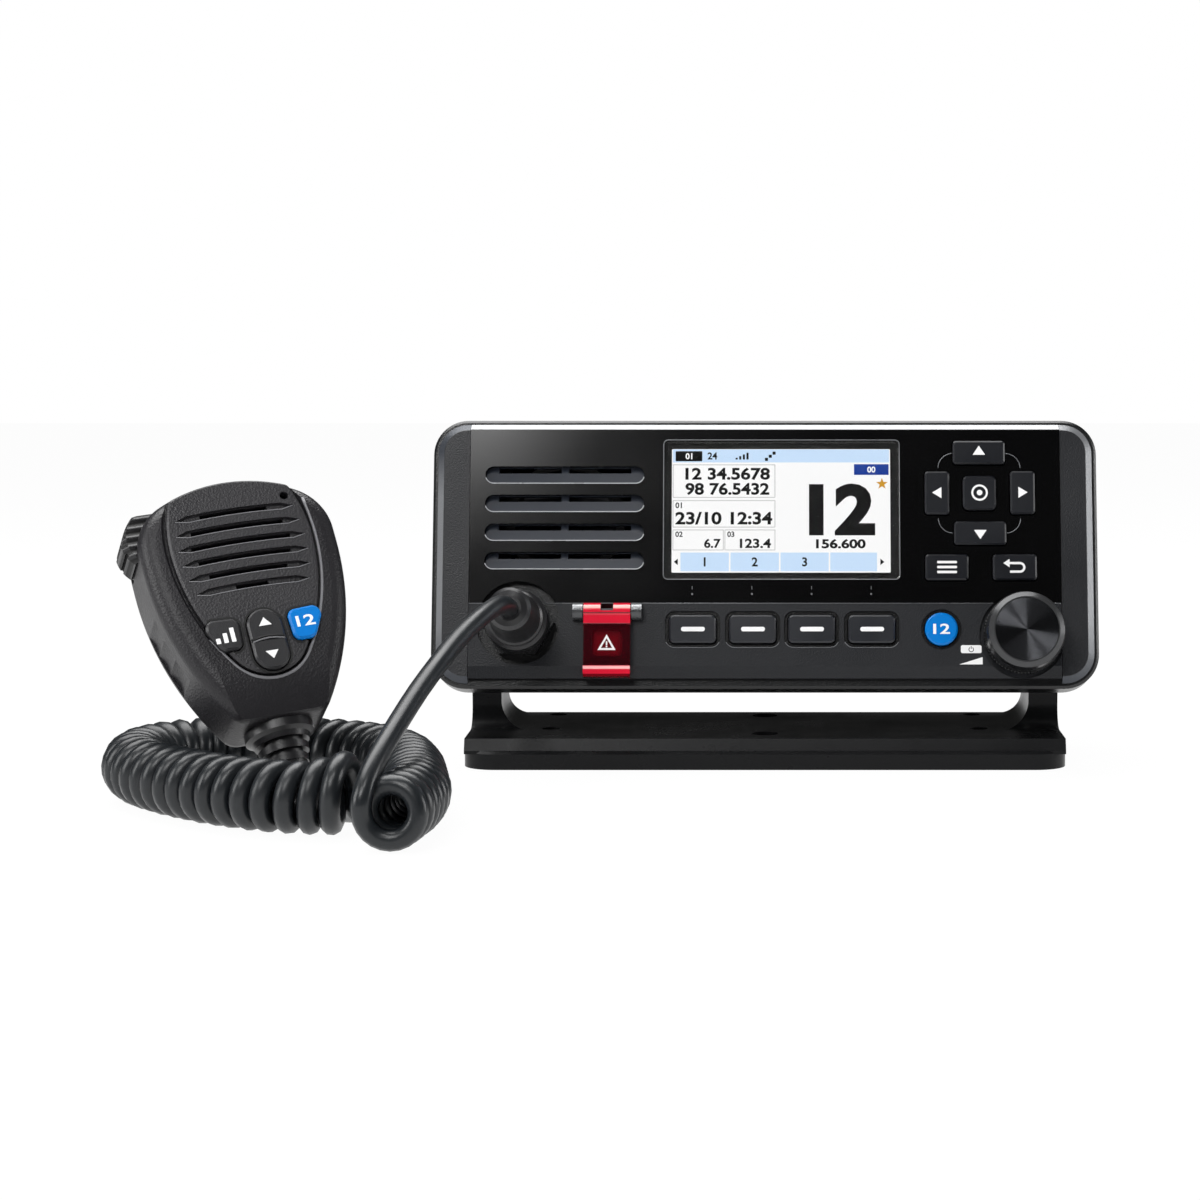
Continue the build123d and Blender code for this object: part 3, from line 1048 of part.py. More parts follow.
# ------------------------------------------------------------------------ cord
def tube(name, points, diameter, radii):
    """A cord's plain solid along straight runs joined by tangent arcs."""
    path = FilletPolyline(*points, radius=radii)
    section = Plane(origin=path @ 0, z_dir=path % 0) * Circle(diameter / 2)
    solid = sweep(section, path=path)
    area = math.pi * diameter ** 2 / 4
    print(name, "length", round(path.length, 1), "volume ratio", round(solid.volume / area / path.length, 4))
    return solid


def arc_radii(name, points):
    """Each corner's arc is as large as its two runs allow."""
    radii = []
    for before, here, after in zip(points, points[1:], points[2:]):
        first = Vector(*here) - Vector(*before)
        second = Vector(*after) - Vector(*here)
        turn = first.get_angle(second)
        shorter = min(first.length, second.length)
        radii.append(0.45 * shorter / math.tan(math.radians(turn / 2)))
    print(name, "radii", [round(r, 1) for r in radii])
    return radii


COIL_ROUTE = [
    (-95.0, -169.0), (-92.6, -153.0), (-92.0, -136.0), (-95.0, -118.0), (-97.5, -100.0),
    (-102.0, -83.5), (-112.0, -70.0), (-127.0, -61.5), (-143.5, -57.5), (-159.0, -58.5),
    (-170.8, -65.5), (-177.0, -77.5), (-176.2, -92.0), (-168.5, -105.5), (-158.0, -118.0),
    (-146.5, -129.0), (-134.0, -138.0), (-121.5, -143.5), (-108.5, -144.5)]


def cords(boot_tip_y):
    tip = (TO_RADIO * Pos(GLAND_X, boot_tip_y, GLAND_Z)).position
    along = math.radians(TILT)
    out = Vector(0, -math.cos(along), math.sin(along))
    first = tip + out * 9.0
    lead = [
        (tip.X, tip.Y, tip.Z), (first.X, first.Y, first.Z), (-76.2, -80.0, 54.0), (-80.0, -92.0, 51.3),
        (-84.3, -104.0, 47.2), (-88.0, -117.0, 42.1), (-91.8, -130.0, 36.6), (-95.2, -143.5, 30.4),
        (-98.2, -156.0, 24.6), (-100.4, -165.5, 19.0), (-101.6, -170.8, 11.5)]
    coil = [(x, y, COIL_D / 2) for x, y in COIL_ROUTE]
    mic_tip = (TO_MIC * Pos(0, 0, 0)).position
    down = (TO_MIC * Pos(0, 0, -5.5)).position
    tail = [
        (mic_tip.X, mic_tip.Y, mic_tip.Z), (down.X, down.Y, down.Z), (-121.5, -117.5, 3.2),
        (-114.0, -124.5, 3.2), (-108.8, -131.0, 4.6), (-108.3, -137.0, 8.5), (-109.0, -139.0, 13.0)]
    for name, points, diameter in (("mic_lead", lead, CABLE_D), ("curly_coil", coil, COIL_D),
                                   ("mic_tail", tail, CABLE_D)):
        keep(name, tube(name, points, diameter, arc_radii(name, points)))


mounting_bracket()
thumb_knobs()
front_housing()
gloss_panel()
lower_fascia()
speaker_grille()
speaker()
display()
boards()
push_keys()
volume_knob()
distress_cover()
rear_chassis()
chassis_fittings()
microphone()
cords(cord_gland())

for name, shape in NODES.items():
    export_step(shape, "parts/%s.step" % name)
print(len(NODES), "nodes")
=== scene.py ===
# %% [markdown]
# A marine VHF radio on its tilting bracket, with a hand microphone on a curly cord. Its
# working model is loaded first, with every moving piece on a body of its own. All of it
# could be modelled again here, but the solids are exact already, so the cells below
# dress them and add what is soft, thin or printed. Lengths in the scene are in metres:
# +X is to the right, +Y to the back and +Z up.

# %% Load the working model
import bpy
import math
from mathutils import Matrix, Vector


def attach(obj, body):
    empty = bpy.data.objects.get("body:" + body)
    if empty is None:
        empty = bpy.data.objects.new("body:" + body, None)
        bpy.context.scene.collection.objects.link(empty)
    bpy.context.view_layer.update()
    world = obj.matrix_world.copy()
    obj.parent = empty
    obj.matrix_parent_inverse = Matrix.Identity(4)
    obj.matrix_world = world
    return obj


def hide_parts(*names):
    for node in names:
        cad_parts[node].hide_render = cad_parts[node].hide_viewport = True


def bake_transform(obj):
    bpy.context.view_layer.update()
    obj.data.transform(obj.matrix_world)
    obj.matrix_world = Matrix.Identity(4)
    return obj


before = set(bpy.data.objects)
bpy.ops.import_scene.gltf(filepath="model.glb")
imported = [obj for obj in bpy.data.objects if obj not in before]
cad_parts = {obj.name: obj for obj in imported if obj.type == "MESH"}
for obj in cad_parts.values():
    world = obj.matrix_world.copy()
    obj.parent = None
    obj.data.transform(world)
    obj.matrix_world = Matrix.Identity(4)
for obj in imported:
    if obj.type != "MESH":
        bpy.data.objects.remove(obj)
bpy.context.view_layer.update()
MM = 0.001

# %% [markdown]
# The radio is tipped back on its bracket, and the microphone leans and turns in its
# coil. Points given in the scene's own axes would be hard to read and to change. So each
# of the two has a frame of its own, in millimetres: x across, y back from the face and
# z up. A matrix made of moves and turns carries what is drawn there into the scene.

# %% The two leaning frames
TIP_BACK = math.radians(13.5)
PIVOT = (0, 9 * MM, 57 * MM)
FACE_FOOT_FROM_PIVOT = (0, -33.3 * MM, -41 * MM)
MIC_FOOT = (-129 * MM, -111 * MM, 9.5 * MM)
RADIO = (Matrix.Translation(PIVOT) @ Matrix.Rotation(-TIP_BACK, 4, "X")
         @ Matrix.Translation(FACE_FOOT_FROM_PIVOT) @ Matrix.Scale(MM, 4))
MIC = Matrix.Translation(MIC_FOOT)
for axis, degrees in (("Y", -19), ("X", -24), ("Z", 27)):
    MIC = MIC @ Matrix.Rotation(math.radians(degrees), 4, axis)
MIC = MIC @ Matrix.Scale(MM, 4)
print("foot of the face", RADIO.translation, "foot of the microphone", MIC.translation)

# %% [markdown]
# The camera stands a little above the radio and looks slightly down at it. It could be
# turned towards the microphone, but then the radio's edges would run at a slant. A
# sideways shift of the lens takes in both and still faces the radio squarely, and a long
# lens keeps its sides nearly parallel.

# %% Camera
LOOK_DOWN = 5.5
camera_data = bpy.data.cameras.new("camera")
camera_data.lens = 85.8
camera_data.sensor_width = 36
camera_data.shift_x = -0.1375
camera_data.clip_start = 0.01
camera = bpy.data.objects.new("camera", camera_data)
camera.location = (0, -0.882, 0.133)
camera.rotation_euler = (math.radians(90 - LOOK_DOWN), 0, 0)
bpy.context.scene.collection.objects.link(camera)
bpy.context.scene.camera = camera
bpy.context.scene.view_settings.view_transform = "Standard"
print("camera lens", round(camera_data.lens, 1), "shift", round(camera_data.shift_x, 4))

# %% [markdown]
# A cord is a bent line given thickness. It could be a chain of cylinders, but a curve
# bends without corners and is changed by moving a few points. The route's points pull a
# smooth NURBS line after them. A mesh of the bare line gives its points back, for its
# length and for what winds around it.

# %% Lines and tubes
def nurbs_curve(name, points, resolution):
    """A curve object whose line is pulled by the points."""
    data = bpy.data.curves.new(name, "CURVE")
    data.dimensions = "3D"
    data.resolution_u = resolution
    spline = data.splines.new("NURBS")
    spline.points.add(len(points) - 1)
    for target, point in zip(spline.points, points):
        target.co = (*point, 1)
    spline.order_u = 3
    spline.use_endpoint_u = True
    return bpy.data.objects.new(name, data)


def line_of(curve):
    """The points that a curve without thickness runs through."""
    mesh = bpy.data.meshes.new_from_object(curve)
    line = [v.co.copy() for v in mesh.vertices]
    bpy.data.meshes.remove(mesh)
    return line


def line_length(line):
    return sum((b - a).length for a, b in zip(line, line[1:]))


def select_only(piece):
    bpy.ops.object.select_all(action="DESELECT")
    piece.select_set(True)
    bpy.context.view_layer.objects.active = piece


def tube_piece(name, points, diameter, resolution, sides):
    """A mesh tube that follows a smooth line, and the points of that line."""
    piece = nurbs_curve(name, points, resolution)
    line = line_of(piece)
    piece.data.use_fill_caps = True
    piece.data.bevel_resolution = sides
    piece.data.bevel_depth = diameter / 2
    bpy.context.scene.collection.objects.link(piece)
    select_only(piece)
    bpy.ops.object.convert(target="MESH")
    bpy.ops.object.shade_smooth()
    return piece, line


# %% [markdown]
# The cord leaves the rubber boot on the radio and hangs in a slack curve down to the
# table. There it turns into the curly stretch, which lies in an open ring around the
# microphone's foot. A real cord hangs by its weight, and a cloth or rope simulation could
# find such a route, but listed points put each bend where it is wanted.

# %% Routes of the lead and of the coil
def metres(points):
    return [Vector(p) * MM for p in points]


GLAND_X = -74.1
GLAND_Z = 19.6
BOOT_LENGTH = 32.4
STRAIGHT_OUT = 9 * MM
BOOT_TIP = RADIO @ Vector((GLAND_X, -BOOT_LENGTH, GLAND_Z))
boot_out = (RADIO.to_3x3() @ Vector((0, -1, 0))).normalized()
lead_route = [BOOT_TIP, BOOT_TIP + boot_out * STRAIGHT_OUT] + metres([
    (-76.2, -80, 54), (-80, -92, 51.3), (-84.3, -104, 47.2), (-88, -117, 42.1), (-91.8, -130, 36.6),
    (-95.2, -143.5, 30.4), (-98.2, -156, 24.6), (-100.6, -164.5, 19), (-102, -168.6, 13.5)])
coil_route = metres([
    (-95, -169, 10), (-92.6, -153, 10), (-92, -136, 10), (-95, -118, 10), (-97.5, -100, 10),
    (-102, -83.5, 10), (-112, -70, 10), (-127, -61.5, 10), (-143.5, -57.5, 10), (-159, -58.5, 10),
    (-170.8, -65.5, 10), (-177, -77.5, 10), (-176.2, -92, 10), (-168.5, -105.5, 10), (-158, -118, 10),
    (-146.5, -129, 10), (-134, -138, 10), (-121.5, -143.5, 10), (-108.5, -144.5, 10)])
coil_curve = nurbs_curve("route", coil_route, 24)
coil_line = line_of(coil_curve)
bpy.data.curves.remove(coil_curve.data)
print("the coil's line is", round(line_length(coil_line), 3), "m long")

# %% [markdown]
# A curly cord is wound on a rod and heated, so that it springs back into a helix. A Screw
# modifier makes a helix too, but only along a straight axis. Here a point is set out
# sideways from each step along the coil's line, a little further round each time. The
# last loop is slightly wider, where it opens towards the microphone.

# %% Cord from the radio, with its curly stretch
CABLE = 5.6 * MM
HELIX_R = 7.2 * MM
TURNS = 48
POINTS_PER_TURN = 12
LAST_LOOP_GROWTH = 1.4 * MM
GROWING_TURNS = 1.6
UP = Vector((0, 0, 1))


def point_at(line, fraction):
    """The place and the direction at a fraction of a line's length."""
    left = fraction * line_length(line)
    for a, b in zip(line, line[1:]):
        step = (b - a).length
        if left <= step or b is line[-1]:
            return a.lerp(b, left / step), (b - a).normalized()
        left -= step


helix = []
for i in range(TURNS * POINTS_PER_TURN + 1):
    centre, along = point_at(coil_line, i / (TURNS * POINTS_PER_TURN))
    side = along.cross(UP).normalized()
    over = side.cross(along)
    angle = math.pi + 2 * math.pi * i / POINTS_PER_TURN
    turns_left = TURNS - i / POINTS_PER_TURN
    growth = LAST_LOOP_GROWTH * min(max(GROWING_TURNS - turns_left, 0.0), 1.0)
    centre = centre + growth * UP
    helix.append(centre + (HELIX_R + growth) * (math.cos(angle) * side + math.sin(angle) * over))
curly_cord, cord_line = tube_piece("curly_cord", lead_route + helix, CABLE, 2, 3)
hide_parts("mic_lead", "curly_coil")
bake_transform(curly_cord)
print("cord length", round(line_length(cord_line), 3))

# %% [markdown]
# The last stretch leaves the coil and goes up into the microphone's ribbed boot. It is
# the same cord, but a piece of its own, because it follows the microphone when that is
# lifted.

# %% Tail of the cord, up into the microphone
MIC_TIP = MIC @ Vector((0, 0, 0))
tail_route = [MIC_TIP, MIC @ Vector((0, 0, -5.5))] + metres([
    (-121.5, -117.5, 3.2), (-114, -124.5, 3.2), (-108.8, -131.5, 4), (-108.2, -136.4, 6.6)]) + [helix[-1]]
mic_cord, tail_line = tube_piece("mic_cord", tail_route, CABLE, 12, 3)
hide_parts("mic_tail")
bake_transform(mic_cord)
print("tail length", round(line_length(tail_line), 3))

# %% [markdown]
# A material is a graph of nodes, which can be laid and linked by hand in the Shader
# Editor. Written out in full, each node takes several lines. This small class adds a
# node and fills its inputs at once, and an input takes a plain value or the output of
# another node.

# %% Node graphs
class Graph:
    """The nodes of a material, of a node group or of the world."""

    def __init__(self, tree, material=None):
        self.tree = tree
        self.material = material
        self.shader = None
        self.bump = None

    def join(self, value, socket):
        """Feed an input with another node's output, or set it to a plain value."""
        if isinstance(value, bpy.types.NodeSocket):
            self.tree.links.new(value, socket)
        elif socket.type == "RGBA":
            socket.default_value = (*value, 1)
        else:
            socket.default_value = value

    def new(self, kind, **inputs):
        """A new node with its inputs filled; an underscore stands for a space."""
        node = self.tree.nodes.new("ShaderNode" + kind)
        for label, value in inputs.items():
            self.join(value, node.inputs[label.replace("_", " ")])
        return node

    def math(self, operation, a, b=None, clamp=False):
        """The result of a sum on sockets or plain numbers."""
        node = self.new("Math")
        node.operation = operation
        node.use_clamp = clamp
        self.join(a, node.inputs[0])
        if b is not None:
            self.join(b, node.inputs[1])
        return node.outputs[0]

    def mix(self, factor, a, b):
        """From a to b as the factor rises; both are colours, or both are numbers."""
        node = self.new("Mix")
        if isinstance(b, tuple) or getattr(b, "type", "") == "RGBA":
            node.data_type = "RGBA"
        for label, value in (("Factor", factor), ("A", a), ("B", b)):
            self.join(value, node.inputs[label])
        return node.outputs["Result"]

    def group(self, tree):
        """A node group in this graph, fed with the piece's own coordinates."""
        node = self.new("Group")
        node.node_tree = tree
        self.join(self.new("TexCoord").outputs["Object"], node.inputs["Vector"])
        return node


def new_material(name):
    material = bpy.data.materials.new(name)
    material.use_nodes = True
    material.node_tree.nodes.clear()
    return Graph(material.node_tree, material)


# %% [markdown]
# The radio stands on a plain pale floor in soft white light. A floor that is only lit
# would turn grey towards the back, so it glows white to the camera and in reflections.
# Light Path tells those rays from the rest, which see a matt floor that takes a soft
# shadow. The world is dimmer in reflections than as light, which keeps gloss black dark.

# %% Floor and world
FLOOR_GLOW_SHARE = 0.965
WORLD_LIGHT = 0.34
WORLD_IN_REFLECTIONS = 0.04


def build_floor():
    bpy.ops.object.select_all(action="DESELECT")
    bpy.ops.mesh.primitive_plane_add(size=6, location=(0, 0, 0))
    floor = bpy.context.active_object
    floor.name = "floor"
    pale = new_material("pale_floor")
    path = pale.new("LightPath")
    seen = pale.math("MAXIMUM", path.outputs["Is Camera Ray"], path.outputs["Is Glossy Ray"])
    mix = pale.new("MixShader", Fac=pale.math("MULTIPLY", seen, FLOOR_GLOW_SHARE))
    pale.join(pale.new("BsdfDiffuse", Color=(0.9, 0.9, 0.9)).outputs["BSDF"], mix.inputs[1])
    pale.join(pale.new("Emission", Strength=1.0).outputs["Emission"], mix.inputs[2])
    pale.new("OutputMaterial", Surface=mix.outputs["Shader"])
    floor.data.materials.append(pale.material)


def build_world():
    world = bpy.data.worlds.new("studio")
    bpy.context.scene.world = world
    world.use_nodes = True
    world.node_tree.nodes.clear()
    studio = Graph(world.node_tree)
    path = studio.new("LightPath")
    glossy = studio.new("MapRange", Value=path.outputs["Is Glossy Ray"], To_Min=WORLD_LIGHT,
                        To_Max=WORLD_IN_REFLECTIONS)
    level = studio.new("MapRange", Value=path.outputs["Is Camera Ray"], To_Min=glossy.outputs["Result"],
                       To_Max=1.0)
    background = studio.new("Background", Color=(1, 1, 1), Strength=level.outputs["Result"])
    studio.new("OutputWorld", Surface=background.outputs["Background"])


build_floor()
build_world()
print("floor and world", bpy.context.scene.world.name)

# %% [markdown]
# Five area lamps do what softboxes do in a studio. The big one above gives most of the
# light, and its reflection adds to the highlight painted on the panel's top strip. The one
# in front at the left is placed where the gloss panel mirrors its edge, which fades into
# the panel from the upper left corner. The small one lights the knob's face, and two
# strips light the side bevels, which also carry a painted highlight.

# %% Lamps
def add_lamp(name, place, target, width, height, watts):
    data = bpy.data.lights.new(name, "AREA")
    data.shape = "RECTANGLE"
    data.size = width
    data.size_y = height
    data.energy = watts
    lamp = bpy.data.objects.new(name, data)
    lamp.location = place
    lamp.rotation_euler = (Vector(target) - Vector(place)).to_track_quat("-Z", "Y").to_euler()
    bpy.context.scene.collection.objects.link(lamp)


add_lamp("top_softbox", (-0.25, 0.28, 1.0), (-0.05, 0, 0.05), 1.3, 0.75, 17)
add_lamp("front_left_softbox", (-0.36, -0.95, 0.745), (-0.08, 0, 0.05), 0.44, 0.38, 4.3)
add_lamp("front_top_lamp", (0.0, -0.70, 0.90), (0.03, 0, 0.06), 0.13, 0.13, 1.3)
add_lamp("left_strip", (-0.85, -0.36, 0.34), (-0.05, 0, 0.06), 0.35, 0.5, 3.0)
add_lamp("right_strip", (1.1, -0.02, 0.32), (0, 0, 0.06), 0.35, 0.55, 4.2)
print("lamps", [lamp.name for lamp in bpy.data.lights])

# %% [markdown]
# Moulded plastic has a fine leather-like grain from its mould, and handling makes it
# shinier in patches. An image could show both, but noise has no seams and no edge. Every
# finish needs them, so they are built once as a node group: small cells with a coarser
# noise added for the height, and broad noise for the patches.

# %% Node group: grain
def new_group(name, inputs, outputs):
    """An empty node group, with the nodes for its inputs and for its outputs."""
    tree = bpy.data.node_groups.new(name, "ShaderNodeTree")
    for label, kind, value in inputs:
        socket = tree.interface.new_socket(name=label, in_out="INPUT", socket_type="NodeSocket" + kind)
        if value is not None:
            socket.default_value = value
    for label in outputs:
        tree.interface.new_socket(name=label, in_out="OUTPUT", socket_type="NodeSocketFloat")
    return Graph(tree), tree.nodes.new("NodeGroupInput").outputs, tree.nodes.new("NodeGroupOutput").inputs


def build_grain():
    graph, given, result = new_group(
        "grain", [("Vector", "Vector", None), ("Grains per metre", "Float", 1500.0),
                  ("Coarse share", "Float", 0.4)], ["Height", "Patchiness"])
    grains = given["Grains per metre"]
    cells = graph.new("TexVoronoi", Vector=given["Vector"], Scale=grains)
    cells.feature = "SMOOTH_F1"
    cells.inputs["Smoothness"].default_value = 0.6
    larger = graph.math("MULTIPLY", grains, 0.45)
    noise = graph.new("TexNoise", Vector=given["Vector"], Scale=larger, Detail=3)
    broad = graph.new("TexNoise", Vector=given["Vector"], Scale=45, Detail=4)
    coarse = graph.math("MULTIPLY", noise.outputs["Fac"], given["Coarse share"])
    graph.join(graph.math("ADD", cells.outputs["Distance"], coarse), result["Height"])
    graph.join(broad.outputs["Fac"], result["Patchiness"])
    return graph.tree


GRAIN = build_grain()
print("node group", GRAIN.name)

# %% [markdown]
# One moulding often shows more than one finish, such as the bevel beside each textured
# cheek, which has a highlight painted into its colour. Cutting the mesh for that would need
# clean edges there, so a mask in the material says where. It compares x, y and z with the
# part's own sizes, and for that a Mapping node undoes the lean of the radio, or of the microphone.

# %% Node groups: the leaning frames
def build_frame_group(name, matrix):
    """A group that gives a point's place in a leaning frame, in millimetres."""
    graph, given, result = new_group(name, [("Vector", "Vector", None)], ["X", "Y", "Z"])
    place, turn, size = matrix.inverted().decompose()
    mapping = graph.new("Mapping", Vector=given["Vector"], Location=place, Rotation=turn.to_euler(),
                        Scale=size)
    split = graph.new("SeparateXYZ", Vector=mapping.outputs["Vector"])
    for axis in "XYZ":
        graph.join(split.outputs[axis], result[axis])
    return graph.tree


RADIO_FRAME = build_frame_group("radio_frame", RADIO)
MIC_FRAME = build_frame_group("mic_frame", MIC)
print("node groups", [group.name for group in bpy.data.node_groups])

# %% [markdown]
# One function builds every plain finish, because plastic, paint and metal differ here
# only in a few numbers: a Principled shader, the grain as a bump, and a colour and a
# shine that vary softly from patch to patch. The grain's height is in millimetres.

# %% Finish builder
def finish(name, color, roughness, grains=1500, depth=0.02, spread=0.12, mottle=0.15, **sockets):
    """A moulded, painted or metal finish; the sockets are the shader's other inputs."""
    look = new_material(name)
    look.shader = look.new("BsdfPrincipled", **sockets)
    look.new("OutputMaterial", Surface=look.shader.outputs["BSDF"])
    grain = look.group(GRAIN)
    grain.inputs["Grains per metre"].default_value = grains
    patches = grain.outputs["Patchiness"]
    look.bump = look.new("Bump", Strength=1.0, Distance=depth * MM, Height=grain.outputs["Height"])
    shine = look.new("MapRange", Value=patches, From_Min=0.3, From_Max=0.7,
                     To_Min=max(0.02, roughness - spread / 2), To_Max=roughness + spread / 2)
    tone = look.mix(patches, color, tuple(c * (1 + mottle) for c in color))
    look.join(look.bump.outputs["Normal"], look.shader.inputs["Normal"])
    look.join(shine.outputs["Result"], look.shader.inputs["Roughness"])
    look.join(tone, look.shader.inputs["Base Color"])
    return look


# %% [markdown]
# A band is one between two limits and nought outside them, with a soft step at each end.
# A region is where the bands of x, y and z are all one, and it is repainted there with
# its own colour, roughness or metal. A painted mask would need a map of the surface,
# which loose triangles don't have.

# %% Masks
def band(look, value, low, high, soft=0.08):
    """One between low and high, nought outside; each step is as wide as soft."""
    rise = look.math("DIVIDE", look.math("SUBTRACT", value, low), soft, clamp=True)
    fall = look.math("DIVIDE", look.math("SUBTRACT", high, value), soft, clamp=True)
    return look.math("MULTIPLY", rise, fall)


def within(look, frame_group, **limits):
    """One inside the limits on X, Y and Z, each a low, a high and maybe a softness."""
    place = look.group(frame_group).outputs
    mask = 1.0
    for axis, ends in limits.items():
        mask = look.math("MULTIPLY", mask, band(look, place[axis], *ends))
    return mask


def repaint(look, mask, color=None, roughness=None, metallic=None):
    """Change a finish where the mask is one."""
    for label, value in (("Base Color", color), ("Roughness", roughness), ("Metallic", metallic)):
        if value is None:
            continue
        socket = look.shader.inputs[label]
        old = socket.links[0].from_socket if socket.links else socket.default_value
        look.join(look.mix(mask, old, value), socket)


# %% [markdown]
# The front housing is one dark moulding. Its cheeks are textured, the bevel beside each
# cheek is satin plastic with a long highlight painted into its colour, and the rim outside
# it is glossy black. The painted highlight fades towards the bevel's ends, as a real
# highlight does, but it is part of the colour, so it stays put from every side.

# %% Finish of the front housing
CHARCOAL = finish("charcoal_moulding", (0.0090, 0.0098, 0.0122), 0.41, grains=2300, depth=0.05)
left_side = within(CHARCOAL, RADIO_FRAME, X=(-200, 0, 1), Z=(4, 72, 14))
right_side = within(CHARCOAL, RADIO_FRAME, X=(0, 200, 1), Z=(2, 140, 20))
painted_highlight_mask = CHARCOAL.math("MAXIMUM", left_side, right_side)
# Painted highlight: the bevel is lightened where a long highlight falls, and darker towards its ends.
bevel_with_painted_highlight = CHARCOAL.mix(painted_highlight_mask, (0.045, 0.050, 0.060), (0.20, 0.205, 0.215))
repaint(CHARCOAL, within(CHARCOAL, RADIO_FRAME, Y=(0.42, 2.52)), bevel_with_painted_highlight, 0.36, 0.35)
repaint(CHARCOAL, within(CHARCOAL, RADIO_FRAME, Y=(2.56, 30.0, 0.04)), (0.005, 0.0053, 0.006), 0.3, 0.0)
print("front housing", CHARCOAL.material.name, len(CHARCOAL.tree.nodes), "nodes")

# %% [markdown]
# The lower fascia is matt, with two hinge ears of smooth metallic grey, each with a
# highlight painted along its top. The wells behind its keys are painted black as shade,
# because little light gets in. The gloss panel is nearly black plastic with a highlight
# painted along its top strip. Each is a single moulding, so what differs on it is a region
# of its one material.

# %% Finishes of the fascia and the gloss panel
COVER_X = -47.3
FASCIA = finish("fascia_moulding", (0.0075, 0.0084, 0.0110), 0.46, grains=2300, depth=0.05,
                Specular_IOR_Level=0.4)
sideways = FASCIA.group(RADIO_FRAME).outputs["X"]
from_cover = FASCIA.math("ABSOLUTE", FASCIA.math("SUBTRACT", sideways, COVER_X))
ear = FASCIA.math("MULTIPLY", band(FASCIA, from_cover, 7.2, 10.4),
                  within(FASCIA, RADIO_FRAME, Y=(-5.0, -0.05), Z=(20.2, 25.4)))
# Painted highlight along the top of each hinge ear.
painted_crown_highlight = FASCIA.math("MULTIPLY", ear, within(FASCIA, RADIO_FRAME, Z=(23.3, 25.2, 0.5)))
repaint(FASCIA, ear, (0.085, 0.087, 0.09), 0.24, 0.6)
repaint(FASCIA, painted_crown_highlight, (0.42, 0.43, 0.44), 0.24, 0.4)
# Painted shade: the wells behind the fascia's keys are darkened.
repaint(FASCIA, within(FASCIA, RADIO_FRAME, Y=(0.3, 1.2), Z=(10.0, 25.0)), (0.003, 0.003, 0.0035), 0.3)

GLOSS = finish("gloss_black", (0.0008, 0.0008, 0.0010), 0.15, grains=900, depth=0.0004, spread=0.03)
# Painted highlight: a bright strip along the top of the panel.
repaint(GLOSS, within(GLOSS, RADIO_FRAME, Y=(0.05, 1.9), Z=(78.66, 81.0)), (0.24, 0.245, 0.25), 0.22, 0.5)
print("fascia", len(FASCIA.tree.nodes), "nodes, gloss panel", len(GLOSS.tree.nodes), "nodes")

# %% [markdown]
# The rest is plain: satin grille, rubber-like keys, blue keys for the calling channel,
# painted bracket, metal, boards and seals. The sides of the microphone's blue key are
# dark, because only its cap is moulded in blue. The talk key has ribs too fine to
# model: a sine wave along its length paints shade into its grooves and bends its normals.

# %% Plain finishes
GRILLE = finish("grille_satin", (0.017, 0.0215, 0.032), 0.33, grains=2600, depth=0.01)
SOFT_KEY = finish("soft_key_charcoal", (0.0102, 0.0115, 0.0155), 0.34, grains=3000, depth=0.012)
KEY = finish("key_charcoal", (0.0060, 0.0068, 0.0095), 0.34, grains=3000, depth=0.012,
             Specular_IOR_Level=0.35)
BLUE = finish("key_blue", (0.0, 0.152, 0.50), 0.26, grains=3000, depth=0.006, Specular_IOR_Level=0.25)
BRACKET_SATIN = finish("bracket_satin", (0.0075, 0.0077, 0.0083), 0.3, grains=2600, depth=0.012,
                       Specular_IOR_Level=0.15)
RUBBER = finish("boot_rubber", (0.0125, 0.0125, 0.0138), 0.33, grains=2600, depth=0.02)
CORD = finish("cord_jacket", (0.0085, 0.0105, 0.0125), 0.34, grains=1200, depth=0.008)
MIC_CASE = finish("mic_moulding", (0.0135, 0.0128, 0.0148), 0.4, grains=1700, depth=0.085,
                  Specular_IOR_Level=0.35)
MIC_PLATE = finish("mic_plate", (0.0205, 0.0198, 0.0222), 0.4, grains=1700, depth=0.085)
MIC_KEY = finish("mic_key", (0.0155, 0.0155, 0.017), 0.36, grains=2600, depth=0.02)
ALLOY = finish("cast_alloy", (0.012, 0.0125, 0.013), 0.42, grains=2000, depth=0.04)
STEEL = finish("stainless", (0.55, 0.55, 0.55), 0.28, grains=3000, depth=0.004, Metallic=1.0)
DARK_STEEL = finish("dark_steel", (0.06, 0.06, 0.065), 0.34, grains=3000, depth=0.004, Metallic=0.9)
NICKEL = finish("nickel_plate", (0.72, 0.7, 0.66), 0.18, grains=3000, depth=0.002, Metallic=1.0)
BOARD = finish("board_green", (0.02, 0.12, 0.05), 0.4, grains=1500, depth=0.01)
SEAL = finish("seal_rubber", (0.006, 0.006, 0.006), 0.7, grains=1800, depth=0.03)

MIC_BLUE = finish("mic_blue", (0.0, 0.152, 0.50), 0.26, grains=3000, depth=0.006, Specular_IOR_Level=0.25)
repaint(MIC_BLUE, within(MIC_BLUE, MIC_FRAME, Y=(-14.1, 0.0)), (0.006, 0.006, 0.006), 0.7)

RIB_RADIANS_PER_MM = 2.4
RIB_HEIGHT_IN_GRAINS = -8.0
TALK_KEY = finish("talk_key", (0.0125, 0.0122, 0.0135), 0.34, grains=2600, depth=0.03)
along_key = TALK_KEY.group(MIC_FRAME).outputs["Z"]
wave = TALK_KEY.math("SINE", TALK_KEY.math("MULTIPLY", along_key, RIB_RADIANS_PER_MM))
# Painted shade: the grooves between the ribs are darkened.
repaint(TALK_KEY, band(TALK_KEY, wave, -0.2, 2.0, 0.6), (0.002, 0.002, 0.002), 0.6)
height = TALK_KEY.bump.inputs["Height"]
rib_height = TALK_KEY.math("MULTIPLY", wave, RIB_HEIGHT_IN_GRAINS)
TALK_KEY.join(TALK_KEY.math("ADD", height.links[0].from_socket, rib_height), height)
print("materials so far", len(bpy.data.materials))

